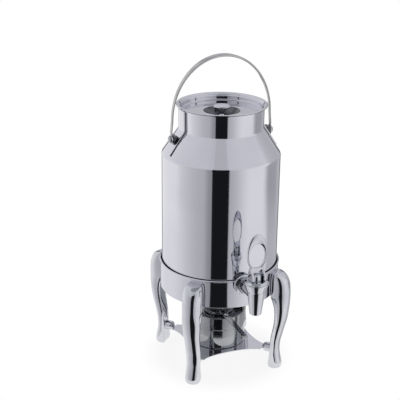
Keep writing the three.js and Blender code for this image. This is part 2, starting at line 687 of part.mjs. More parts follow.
// One section of a leg: a round front, and a back that follows the collar and opens into a hollow.
function legSection([up, back, front, wide, hollow]) {
  const inner = legBack + back * LEG_BULGE;
  const outer = legBack + front * LEG_BULGE;
  const half = (wide * LEG_WIDTH) / 2;
  const middle = inner + LEG_BACK_SHARE * (outer - inner);
  const edge = half - LEG_CORNER;
  const mouth = edge - LEG_EDGE;
  const depth = hollow * Math.max(outer - inner - LEG_WALL, 0);
  const bow = (y) => legBack - Math.sqrt(legBack ** 2 - y ** 2);
  const corner = arc([middle, edge], [middle - inner, half - edge], QUARTER_TURN, Math.PI, LEG_CORNER_STEPS);
  const hollowArc = arc([inner, 0], [depth, mouth], QUARTER_TURN, -QUARTER_TURN, LEG_HOLLOW_STEPS);
  const outline = [
    ...arc([middle, 0], [outer - middle, half], -QUARTER_TURN, QUARTER_TURN, LEG_FRONT_STEPS).slice(0, -1),
    ...corner,
    ...hollowArc,
    ...corner.map(([x, y]) => [x, -y]).reverse().slice(0, -1),
  ];
  return outline.map(([x, y]) => new THREE.Vector3(x - (x < middle ? bow(y) : 0), y, up * LEG_HEIGHT));
}

// The boss that takes the plate's arm: a domed bar towards the urn's axis.
function legBoss() {
  const root = legBack - bossTip;
  const dome = arc([0, root - BOSS_DOME], [BOSS_RADIUS, BOSS_DOME], 0, QUARTER_TURN, BOSS_STEPS);
  const profile = [[0, -BOSS_DOME], [BOSS_RADIUS, -BOSS_DOME], ...dome.slice(0, -1), [0, root]];
  return turned(profile, SMALL_SIDES).rotate([0, -RIGHT_ANGLE, 0]).translate([legBack, 0, bossZ]);
}

// A leg in its own frame, with +X outwards: the cast limb, its boss, and the boss's slot and screw holes.
function legSolid() {
  const slotLow = PLATE_TOP_Z - PLATE_THICKNESS - SEAT_GAP;
  const slot = block(
    [bossTip - OVERRUN, -TONGUE_HALF_WIDTH - SEAT_GAP, slotLow],
    [tongueEnd + SEAT_GAP, TONGUE_HALF_WIDTH + SEAT_GAP, PLATE_TOP_Z + SEAT_GAP],
  );
  const bossFoot = bossZ - BOSS_RADIUS;
  const hole = bar(PLATE_SCREW_RADIUS + SEAT_GAP, bossFoot - OVERRUN, plateScrewTopZ + SEAT_GAP, PIN_SIDES);
  const sinkRadius = PLATE_SCREW_HEAD_RADIUS + SEAT_GAP;
  const sink = bar(sinkRadius, bossFoot - OVERRUN, bossFoot + PLATE_SCREW_SINK, PIN_SIDES);
  const holes = hole.add(sink).translate([plateScrewPlace, 0, 0]);
  return lofted(LEG_SHARES.map(legSection)).add(legBoss()).subtract(slot).subtract(holes);
}

// Plate with four arms and hollow sides, each arm ending in a tongue that sits in a leg's boss.
function plate() {
  const armEnd = bossTip - SEAT_GAP;
  const outline = [0, 1, 2, 3].flatMap((quarter) => {
    const arm = new THREE.Vector2(1, 0).rotateAround(new THREE.Vector2(), quarter * QUARTER_TURN);
    const next = new THREE.Vector2(-arm.y, arm.x);
    const at = (along, across) => arm.clone().multiplyScalar(along).addScaledVector(next, across);
    const edge = at(armEnd, ARM_HALF_WIDTH);
    const far = at(ARM_HALF_WIDTH, armEnd);
    const waist = new THREE.CubicBezierCurve(
      edge,
      edge.clone().addScaledVector(arm, -WAIST_PULL),
      far.clone().addScaledVector(next, -WAIST_PULL),
      far,
    );
    const tongue = [
      at(armEnd, -TONGUE_HALF_WIDTH),
      at(tongueEnd, -TONGUE_HALF_WIDTH),
      at(tongueEnd, TONGUE_HALF_WIDTH),
      at(armEnd, TONGUE_HALF_WIDTH),
    ];
    return [...tongue, ...waist.getPoints(WAIST_STEPS)];
  });
  const low = PLATE_TOP_Z - PLATE_THICKNESS;
  const holes = legTurns.map((turn) =>
    bar(PLATE_SCREW_RADIUS + SEAT_GAP, low - OVERRUN, PLATE_TOP_Z + OVERRUN, PIN_SIDES)
      .translate([plateScrewPlace, 0, 0])
      .rotate([0, 0, THREE.MathUtils.radToDeg(turn)]),
  );
  const square = raised(outline.map(({ x, y }) => [x, y]), low, PLATE_TOP_Z).rotate([0, 0, RIGHT_ANGLE / 2]);
  return piece("stand_plate", holes.reduce((made, hole) => made.subtract(hole), square), POLISHED);
}

// A screw that stands up in a leg's boss and pins the plate's tongue.
function plateScrewSolid() {
  const seat = bossZ - BOSS_RADIUS + PLATE_SCREW_SINK - SEAT_GAP;
  return panScrew(
    seat,
    plateScrewTopZ,
    PLATE_SCREW_RADIUS,
    PLATE_SCREW_HEAD_RADIUS,
    PLATE_SCREW_HEAD,
  ).translate([plateScrewPlace, 0, 0]);
}


// The four legs and their screws, each turned to its corner.
function legs() {
  return legTurns.flatMap((turn, i) => {
    const leg = piece("leg_" + LEG_NAMES[i], legSolid(), CAST);
    const screw = piece("plate_screw_" + LEG_NAMES[i], plateScrewSolid(), FASTENER);
    leg.rotation.z = turn;
    screw.rotation.z = turn;
    return [leg, screw];
  });
}

// Burner
const deckZ = burnerTopZ - COVER_DROP;

// The can: a cup whose upper part steps in to take the cover.
function burnerCan() {
  const neck = BURNER_RADIUS - BURNER_WALL - SEAT_GAP;
  const step = skirtZ - SEAT_GAP;
  const line = rounded([
    [0, burnerFootZ],
    [BURNER_RADIUS, burnerFootZ, COVER_CORNER],
    [BURNER_RADIUS, step],
    [neck, step],
    [neck, deckZ - CAN_TOP_GAP],
  ]);
  const bore = neck - BURNER_WALL;
  const inside = [
    [bore, deckZ - CAN_TOP_GAP],
    [bore, burnerFootZ + BURNER_WALL],
    [0, burnerFootZ + BURNER_WALL],
  ];
  return piece("burner_can", turned([...line, ...inside], BURNER_SIDES), BURNER);
}

// The cover: a skirt with a bead at its foot, a rolled rim, and a sunk deck with a raised mouth.
function burnerCover() {
  const bore = BURNER_RADIUS - BURNER_WALL;
  const deck = deckZ - BURNER_WALL;
  const profile = rounded([
    [MOUTH_RADIUS, deck],
    [bore - BURNER_WALL, deck],
    [bore, deck - BURNER_WALL],
    [bore, skirtZ],
    [BURNER_RADIUS + COVER_BEAD, skirtZ],
    [BURNER_RADIUS + COVER_BEAD, skirtZ + BURNER_WALL],
    [BURNER_RADIUS, skirtZ + 2 * BURNER_WALL],
    [BURNER_RADIUS, burnerTopZ, COVER_CORNER / 2],
    [bore - BURNER_WALL, burnerTopZ, COVER_CORNER / 2],
    [bore - COVER_CORNER, deckZ],
    [MOUTH_RADIUS + 2 * BURNER_WALL, deckZ],
    [MOUTH_RADIUS + BURNER_WALL, burnerTopZ],
    [MOUTH_RADIUS, burnerTopZ],
  ]);
  const hole = bar(RIVET_RADIUS + SEAT_GAP, deck - OVERRUN, deckZ + OVERRUN, PIN_SIDES);
  const made = turned(profile, BURNER_SIDES).subtract(hole.translate([0, -damperPivot, 0]));
  return piece("burner_cover", made, BURNER);
}

const damperLow = burnerTopZ + SEAT_GAP;
const damperHigh = damperLow + DAMPER_THICKNESS;

// The damper: a disc over the mouth with a long strip handle, whose tip is curled down to a lip.
function burnerDamper() {
  const half = HANDLE_WIDTH / 2;
  const disc = bar(damperRadius, damperLow, damperHigh, ROUND_SIDES / 2);
  const strip = block([-half, -handleEnd, damperLow], [half, 0, damperHigh]);
  const curlCentre = damperHigh - HANDLE_CURL;
  const line = [
    ...arc([handleEnd, curlCentre], [HANDLE_CURL, HANDLE_CURL], QUARTER_TURN, -QUARTER_TURN, CURL_STEPS),
    [handleEnd - HANDLE_LIP, curlCentre - HANDLE_CURL],
  ];
  const lip = raised(sheet(line, -DAMPER_THICKNESS).reverse(), -half, half)
    .rotate([RIGHT_ANGLE, 0, 0])
    .rotate([0, 0, -RIGHT_ANGLE]);
  const hole = bar(RIVET_RADIUS + RUNNING_GAP, damperLow - OVERRUN, damperHigh + OVERRUN, PIN_SIDES);
  const made = disc.add(strip).add(lip).subtract(hole.translate([0, -damperPivot, 0]));
  return piece("burner_damper", made, BURNER);
}

// The rivet that the damper swings on: a shoulder on the deck, a shank and a head.
function damperRivet() {
  const head = damperHigh + RUNNING_GAP;
  const shoulder = deckZ + SEAT_GAP;
  const profile = [
    [0, deckZ - 2 * BURNER_WALL],
    [RIVET_RADIUS, deckZ - 2 * BURNER_WALL],
    [RIVET_RADIUS, shoulder],
    [RIVET_HEAD_RADIUS, shoulder],
    [RIVET_HEAD_RADIUS, burnerTopZ],
    [RIVET_RADIUS, burnerTopZ],
    [RIVET_RADIUS, head],
    [RIVET_HEAD_RADIUS, head],
    [RIVET_HEAD_RADIUS - RIVET_HEAD / 2, head + RIVET_HEAD],
    [0, head + RIVET_HEAD],
  ];
  return piece("damper_rivet", turned(profile, PIN_SIDES).translate([0, -damperPivot, 0]), FASTENER);
}

// Tap
const roseBack = collarRadius + COLLAR_LIP + ROSE_CLEARANCE; // from the urn's axis
const roseFront = roseBack + ROSE_THICKNESS;

// The rose that hides the slot, with a boss behind it that passes through the slot.
function tapRose() {
  const bore = SHANK_RADIUS + SEAT_GAP;
  const bossEnd = URN_RADIUS + WASHER_THICKNESS + 2 * SEAT_GAP;
  const profile = [
    [bore, bossEnd],
    [ROSE_BOSS_RADIUS, bossEnd],
    [ROSE_BOSS_RADIUS, roseBack],
    [ROSE_RADIUS, roseBack],
    [ROSE_RADIUS, roseFront - ROSE_BEVEL],
    [ROSE_RADIUS - ROSE_BEVEL, roseFront],
    [bore, roseFront],
  ];
  return piece("tap_rose", barForward(turned(profile, TAP_SIDES), shankZ), POLISHED);
}

// A seal ring on the shank, between two distances in front of the urn's axis.
function sealRing(radius, from, to) {
  const bore = SHANK_RADIUS + SEAT_GAP;
  return barForward(turned([[bore, from], [radius, from], [radius, to], [bore, to]], SMALL_SIDES), shankZ);
}

// The seals on both sides of the urn's wall, each curved on the side that meets the wall.
function tapSeals() {
  const span = [shankZ - WASHER_RADIUS - OVERRUN, shankZ + WASHER_RADIUS + OVERRUN];
  const outside = bar(URN_RADIUS + SEAT_GAP, ...span, ROUND_SIDES);
  const inside = bar(urnBore - SEAT_GAP, ...span, ROUND_SIDES);
  const front = sealRing(ROSE_BOSS_RADIUS, URN_RADIUS - WASHER_THICKNESS, URN_RADIUS + WASHER_THICKNESS);
  const back = sealRing(WASHER_RADIUS, urnBore - 2 * WASHER_THICKNESS, urnBore + WASHER_THICKNESS);
  return [
    piece("tap_seal_outer", front.subtract(outside), SEAL),
    piece("tap_seal_inner", back.intersect(inside), SEAL),
  ];
}

// A hexagon nut on the shank whose front face lies at a distance in front of the urn's axis.
function shankNut(name, front, width, thickness) {
  const outline = raised(hexagon(width), front - thickness, front);
  const bore = bar(SHANK_RADIUS + SEAT_GAP, front - thickness - OVERRUN, front + OVERRUN);
  return piece(name, barForward(outline.subtract(bore), shankZ), FASTENER);
}

const locknutFront = roseFront + SEAT_GAP + LOCKNUT_THICKNESS;
const bonnetSeatZ = CUP_RISE + CUP_RIM;

// The body: a tapered spout that widens to a barrel and a cup, with the shank out of its back.
function tapBody() {
  const outline = rounded([
    [0, -SPOUT_DROP],
    [SPOUT_RADIUS, -SPOUT_DROP, SPOUT_EDGE],
    [BARREL_RADIUS, BARREL_RISE],
    [CUP_FOOT_RADIUS, CUP_FOOT_RISE],
    [CUP_RADIUS, CUP_RISE, CUP_RIM / 2],
    [CUP_RADIUS, bonnetSeatZ],
  ]);
  const outside = turned([...outline, [0, bonnetSeatZ]], TAP_SIDES);
  const shank = bar(SHANK_RADIUS, shankEnd, tapReach - CHAMBER_WAIST);
  const collarNeck = bar(SHANK_RADIUS + LEVER_BEVEL, locknutFront + SEAT_GAP, tapReach - CHAMBER_WAIST);
  const chamber = turned(
    [
      [0, -SEAT_DROP],
      [CHAMBER_WAIST, -SEAT_DROP],
      [CHAMBER_WAIST, CHAMBER_WAIST_RISE],
      [CHAMBER_RADIUS, CHAMBER_WAIST_RISE + CHAMBER_RADIUS - CHAMBER_WAIST],
      [CHAMBER_RADIUS, bonnetSeatZ + OVERRUN],
      [0, bonnetSeatZ + OVERRUN],
    ],
    SMALL_SIDES,
  );
  const outlet = bar(SPOUT_BORE, -SPOUT_DROP - OVERRUN, -SEAT_DROP + OVERRUN);
  const inlet = barForward(bar(SHANK_BORE, shankEnd - OVERRUN, tapReach), shankZ);
  const body = outside
    .translate([0, -tapReach, shankZ])
    .add(barForward(shank.add(collarNeck), shankZ))
    .subtract(chamber.add(outlet).translate([0, -tapReach, shankZ]))
    .subtract(inlet);
  return piece("tap_body", body, CAST);
}

const bonnetTopZ = bonnetSeatZ + SEAT_GAP + BONNET_HEIGHT;

// The bonnet that closes the cup: a low cone with a spigot, bored for the stem.
function tapBonnet() {
  const bore = STEM_RADIUS + RUNNING_GAP;
  const seat = bonnetSeatZ + SEAT_GAP;
  const spigot = CHAMBER_RADIUS - SEAT_GAP;
  const profile = [
    [bore, seat - BONNET_SPIGOT],
    [spigot, seat - BONNET_SPIGOT],
    [spigot, seat],
    [CUP_RADIUS - SPOUT_EDGE / 2, seat],
    [CUP_RADIUS - SPOUT_EDGE, seat + SPOUT_EDGE],
    [BONNET_TOP_RADIUS, bonnetTopZ],
    [bore, bonnetTopZ],
  ];
  return piece("tap_bonnet", turned(profile, TAP_SIDES).translate([0, -tapReach, shankZ]), POLISHED);
}

const stemHeadZ = bonnetTopZ + RUNNING_GAP;
const stemFootZ = -SEAT_DROP + CUP_SEAL_HEIGHT - STEM_RADIUS;

// The stem: a rod with a domed head that carries the lever's pin.
function tapStem() {
  const domeZ = STEM_TOP_RISE - STEM_HEAD_RADIUS * STEM_DOME_SHARE;
  const dome = arc([0, domeZ], [STEM_HEAD_RADIUS, STEM_TOP_RISE - domeZ], 0, QUARTER_TURN, 2 * CORNER_STEPS);
  const profile = [
    [0, stemFootZ],
    [STEM_RADIUS, stemFootZ],
    [STEM_RADIUS, stemHeadZ],
    [STEM_HEAD_RADIUS, stemHeadZ],
    ...dome.slice(0, -1),
    [0, STEM_TOP_RISE],
  ];
  const hole = bar(PIN_RADIUS + SEAT_GAP, -CUP_RADIUS, CUP_RADIUS, PIN_SIDES)
    .rotate([0, RIGHT_ANGLE, 0])
    .translate([0, 0, PIN_RISE]);
  const made = turned(profile, SMALL_SIDES).subtract(hole);
  return piece("tap_stem", made.translate([0, -tapReach, shankZ]), POLISHED);
}

// The seat cup on the stem's foot, which stops the outlet.
function tapSeatCup() {
  const low = -SEAT_DROP + SEAT_GAP;
  const high = -SEAT_DROP + CUP_SEAL_HEIGHT;
  const bore = STEM_RADIUS + SEAT_GAP;
  const socket = stemFootZ - SEAT_GAP;
  const profile = [
    [0, low],
    [CUP_SEAL_RADIUS, low],
    [CUP_SEAL_RADIUS, low + CUP_SEAL_HEIGHT / 2],
    [CUP_SEAL_NECK, high],
    [bore, high],
    [bore, socket],
    [0, socket],
  ];
  return piece("tap_seat_cup", turned(profile, SMALL_SIDES).translate([0, -tapReach, shankZ]), SEAL);
}

const cheekInner = STEM_HEAD_RADIUS + SEAT_GAP;
const cheekOuter = cheekInner + CHEEK_THICKNESS;
const camDrop = PIN_RISE - bonnetTopZ - SEAT_GAP; // from the pin to the cam's foot when the tap is shut
const bridgeLow = STEM_TOP_RISE + BRIDGE_CLEARANCE;

// A cheek's outline about the pin, in [forward, up]. Its foot is a cam that lifts the stem evenly.
function cheekOutline() {
  const pitch = STEM_LIFT / LEVER_TURN;
  const cam = Array.from({ length: CAM_STEPS + 1 }, (_, i) => {
    const angle = (LEVER_TURN * i) / CAM_STEPS;
    const reach = camDrop + pitch * angle;
    return [
      reach * Math.sin(angle) + pitch * Math.cos(angle),
      -reach * Math.cos(angle) + pitch * Math.sin(angle),
    ];
  });
  const [toe] = cam[CAM_STEPS];
  const top = LOOP_RISE + LEVER_THICKNESS - PIN_RISE;
  const waist = bridgeLow - PIN_RISE;
  return [
    [-CHEEK_HEEL, -camDrop],
    ...cam,
    [toe, waist / 2],
    [LEVER_THICKNESS / 2 - LEVER_SET_BACK, top],
    [-LEVER_THICKNESS / 2 - LEVER_SET_BACK, top],
    [-CHEEK_HEEL, waist / 2],
  ];
}

// The lever: an oval loop with a broad crown, a bridge over the stem, and two cheeks with cam feet.
function tapLever() {
  const ovalBetween = (half, low, high) => ring([0, (low + high) / 2], [half, (high - low) / 2], LOOP_STEPS);
  const outline = ovalBetween(LEVER_HALF_WIDTH, LOOP_RISE, LEVER_RISE);
  const holeOutline = ovalBetween(LOOP_HOLE_HALF_WIDTH, LOOP_HOLE_RISE, LOOP_HOLE_RISE + LOOP_HOLE_HEIGHT);
  const halfThick = LEVER_THICKNESS / 2;
  const upright = (made) => made.rotate([RIGHT_ANGLE, 0, 0]);
  const oval = upright(raised(outline, -halfThick, halfThick, LEVER_BEVEL));
  const hole = upright(raised(holeOutline, -LEVER_THICKNESS, LEVER_THICKNESS));
  const bridge = block([-cheekOuter, -halfThick, bridgeLow], [cheekOuter, halfThick, LOOP_HOLE_RISE]);
  const cheek = (side) => {
    const [low, high] = side > 0 ? [cheekInner, cheekOuter] : [-cheekOuter, -cheekInner];
    const flat = raised(cheekOutline(), low, high);
    return flat.rotate([RIGHT_ANGLE, 0, 0]).rotate([0, 0, -RIGHT_ANGLE]).translate([0, 0, PIN_RISE]);
  };
  const pinHole = bar(PIN_RADIUS + RUNNING_GAP, -CUP_RADIUS, CUP_RADIUS, PIN_SIDES);
  const made = oval
    .subtract(hole)
    .add(bridge)
    .translate([0, LEVER_SET_BACK, 0])
    .add(cheek(1))
    .add(cheek(-1))
    .subtract(pinHole.rotate([0, RIGHT_ANGLE, 0]).translate([0, 0, PIN_RISE]));
  return piece("tap_lever", made.translate([0, -tapReach, shankZ]), POLISHED);
}

function tapPin() {
  const end = cheekOuter + PIN_RADIUS / 2;
  const made = bar(PIN_RADIUS, -end, end, PIN_SIDES).rotate([0, RIGHT_ANGLE, 0]);
  return piece("tap_lever_pin", made.translate([0, -tapReach, shankZ + PIN_RISE]), FASTENER);
}

// The whole urn on its stand.
const group = new THREE.Group();
for (const [side, turn] of [["right", 0], ["left", Math.PI]]) {
  const fittings = [
    piece("strap_" + side, strapSolid(), POLISHED),
    piece("pivot_block_" + side, blockSolid(), CAST),
    piece("pivot_cap_" + side, pivotCapSolid(), FASTENER),
  ];
  fittings.forEach((fitting) => (fitting.rotation.z = turn));
  group.add(...fittings);
}
group.add(urnWall(), urnBottom(), lid(), lidKnob(), lidKnobScrew(), bail(), collar(), ...legs(), plate());
group.add(burnerCan(), burnerCover(), burnerDamper(), damperRivet());
group.add(tapRose(), ...tapSeals(), tapBody(), tapBonnet(), tapStem(), tapSeatCup(), tapLever(), tapPin());
group.add(shankNut("tap_locknut", locknutFront, LOCKNUT_WIDTH, LOCKNUT_THICKNESS));
group.add(
  shankNut(
    "tap_backnut",
    urnBore - 2 * WASHER_THICKNESS - SEAT_GAP,
    BACKNUT_WIDTH,
    BACKNUT_THICKNESS,
  ),
);
group.position.y = URN_AXIS_Y;

export default group;
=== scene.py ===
"""A milk urn of mirror-polished stainless steel on a burner stand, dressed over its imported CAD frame.

Sizes are in millimetres about the urn's axis until a mesh is made; the scene itself is in metres. Each
sub-assembly is a class that holds its sizes, builds its meshes and dresses them in their finishes.
"""
import logging
import math
from dataclasses import dataclass, field
from enum import Enum
from typing import Callable, Optional, Sequence, Union

import bmesh
import bpy
from mathutils import Matrix, Vector


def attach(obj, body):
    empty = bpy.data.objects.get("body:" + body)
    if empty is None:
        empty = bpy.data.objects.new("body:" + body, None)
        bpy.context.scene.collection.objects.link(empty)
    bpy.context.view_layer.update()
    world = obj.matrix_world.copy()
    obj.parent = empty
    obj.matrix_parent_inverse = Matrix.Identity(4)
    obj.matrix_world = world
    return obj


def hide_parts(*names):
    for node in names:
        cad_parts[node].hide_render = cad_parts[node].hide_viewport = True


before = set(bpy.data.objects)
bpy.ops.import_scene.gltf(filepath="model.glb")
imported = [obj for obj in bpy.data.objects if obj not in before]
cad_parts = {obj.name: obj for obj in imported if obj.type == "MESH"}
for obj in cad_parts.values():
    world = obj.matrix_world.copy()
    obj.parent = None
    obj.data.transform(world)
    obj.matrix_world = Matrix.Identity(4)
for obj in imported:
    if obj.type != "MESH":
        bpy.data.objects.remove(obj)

log = logging.getLogger("milk_urn")

Point = tuple[float, float]
Line = list[Point]
Rings = list[list[Vector]]

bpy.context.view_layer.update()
METRES = 0.001
URN_AXIS = Vector((0.0, 35.4, 0.0))
TO_SCENE = Matrix.Scale(METRES, 4) @ Matrix.Translation(URN_AXIS)
FULL_TURN = 2 * math.pi
QUARTER_TURN = math.pi / 2
SEAT_GAP = 0.3
TURNED_SIDES = 192
FINE_SIDES = 64
CREASE = math.radians(32)


class Body(Enum):
    """The bodies of the CAD frame that pieces ride on."""

    STAND = "stand"
    URN = "urn"
    LID = "lid"
    BAIL = "bail"
    TAP_STEM = "tap_stem"
    TAP_LEVER = "tap_lever"
    BURNER = "burner"
    DAMPER = "damper"


class Slot(Enum):
    """The record's material slots."""

    POLISHED = "polished_steel"
    CAST = "cast_steel"
    BURNER = "burner_steel"
    FASTENER = "fastener_steel"
    SILICONE = "silicone"


class Lay(Enum):
    """How the marks of the last polishing run over a finish."""

    SPUN = "spun"
    BUFFED = "buffed"


class Combine(Enum):
    """How one solid is combined with another."""

    UNION = "UNION"
    CUT = "DIFFERENCE"
    KEEP = "INTERSECT"


# Node trees and colours


def add_node(
    tree: bpy.types.NodeTree,
    kind: str,
    settings: Optional[dict[str, object]] = None,
    inputs: Optional[dict[Union[int, str], object]] = None,
) -> bpy.types.Node:
    """Adds a node with its settings, input values and links.

    Args:
        tree: The tree that takes the node.
        kind: The node's type name.
        settings: Attribute values of the node.
        inputs: Input sockets by name or index, each with a value or with the output socket that feeds it.

    Returns:
        The new node.
    """
    made = tree.nodes.new(kind)
    for name, value in (settings or {}).items():
        setattr(made, name, value)
    for key, value in (inputs or {}).items():
        if isinstance(value, bpy.types.NodeSocket):
            tree.links.new(value, made.inputs[key])
        else:
            made.inputs[key].default_value = value
    return made


def linear(colour: str, alpha: float = 1.0) -> tuple[float, float, float, float]:
    """Turns an sRGB hex colour to linear values.

    Args:
        colour: The colour as six hex digits.
        alpha: The fourth value.

    Returns:
        Red, green, blue and alpha.
    """
    shares = [int(colour[i:i + 2], 16) / 255 for i in (0, 2, 4)]
    red, green, blue = (s / 12.92 if s <= 0.04045 else ((s + 0.055) / 1.055) ** 2.4 for s in shares)
    return (red, green, blue, alpha)


def set_stops(ramp: bpy.types.ColorRamp, stops: Sequence[tuple[float, str]]) -> None:
    """Gives a colour ramp its stops.

    Args:
        ramp: The ramp.
        stops: The place and the sRGB hex colour of each stop, in rising order.
    """
    while len(ramp.elements) > 1:
        ramp.elements.remove(ramp.elements[-1])
    ramp.elements[0].position = stops[0][0]
    ramp.elements[0].color = linear(stops[0][1])
    for place, colour in stops[1:]:
        ramp.elements.new(place).color = linear(colour)


# Lines and outlines in millimetres


def arc(centre: Point, radii: Point, start: float, end: float, steps: int) -> Line:
    """Points of an arc or part of an ellipse.

    Args:
        centre: The centre.
        radii: The radius along each axis.
        start: The first angle.
        end: The last angle.
        steps: The number of steps between them.

    Returns:
        The points, both ends included.
    """
    angles = [start + (end - start) * i / steps for i in range(steps + 1)]
    return [(centre[0] + radii[0] * math.cos(a), centre[1] + radii[1] * math.sin(a)) for a in angles]


def rounded(points: Sequence[Sequence[float]], steps: int = 8) -> Line:
    """A line whose corners are rounded where a radius is given.

    Args:
        points: Corners of two values, or of three where the corner has a radius.
        steps: The number of steps in a rounded corner.

    Returns:
        The points of the line.
    """
    line: Line = []
    for i, entry in enumerate(points):
        corner = Vector(entry[:2])
        if len(entry) < 3:
            line.append((corner.x, corner.y))
            continue
        before = (Vector(points[i - 1][:2]) - corner).normalized()
        after = (Vector(points[i + 1][:2]) - corner).normalized()
        half = before.angle(after) / 2
        centre = corner + (before + after).normalized() * entry[2] / math.sin(half)
        start = corner + before * entry[2] / math.tan(half) - centre
        end = corner + after * entry[2] / math.tan(half) - centre
        turn = math.atan2(start.x * end.y - start.y * end.x, start.dot(end))
        for k in range(steps + 1):
            spoke = Matrix.Rotation(turn * k / steps, 2) @ start
            line.append((centre.x + spoke.x, centre.y + spoke.y))
    return line


def sheet(line: Line, thickness: float) -> Line:
    """The closed section of a sheet.

    Args:
        line: The points of one face.
        thickness: How far the other face lies to the left of the line.

    Returns:
        The section's outline.
    """
    other: Line = []
    for i, here in enumerate(line):
        point = Vector(here)
        before = (point - Vector(line[i - 1])).normalized() if i else None
        after = (Vector(line[i + 1]) - point).normalized() if i + 1 < len(line) else None
        along = ((before or after) + (after or before)).normalized()
        spread = thickness / max(along.dot(after or along), 0.5)
        other.append((point.x - along.y * spread, point.y + along.x * spread))
    return line + other[::-1]


def smooth_rows(rows: Sequence[Sequence[float]], scale: Sequence[float], steps: int) -> list[list[float]]:
    """Rows of values between the given ones, on one smooth curve through them.

    Args:
        rows: The given rows.
        scale: The weight of each column when the distance between two rows is measured.
        steps: The number of steps between two given rows.

    Returns:
        The given rows and the new ones between them.
    """
    gap = [math.dist([a * s for a, s in zip(p, scale)], [b * s for b, s in zip(q, scale)]) ** 0.5
           for p, q in zip(rows, rows[1:])]
    slopes = []
    for i, row in enumerate(rows):
        if i in (0, len(rows) - 1):
            j = min(i, len(rows) - 2)
            slopes.append([(b - a) / gap[j] for a, b in zip(rows[j], rows[j + 1])])
            continue
        before, after = gap[i - 1], gap[i]
        slopes.append([((here - a) / before * after + (b - here) / after * before) / (before + after)
                       for a, here, b in zip(rows[i - 1], row, rows[i + 1])])
    made = []
    for i in range(len(rows) - 1):
        for k in range(steps):
            t = k / steps
            weights = (2 * t**3 - 3 * t**2 + 1, t**3 - 2 * t**2 + t, 3 * t**2 - 2 * t**3, t**3 - t**2)
            made.append([
                weights[0] * p + weights[1] * gap[i] * m + weights[2] * q + weights[3] * gap[i] * n
                for p, m, q, n in zip(rows[i], slopes[i], rows[i + 1], slopes[i + 1])
            ])
    return made + [list(rows[-1])]


# Solids


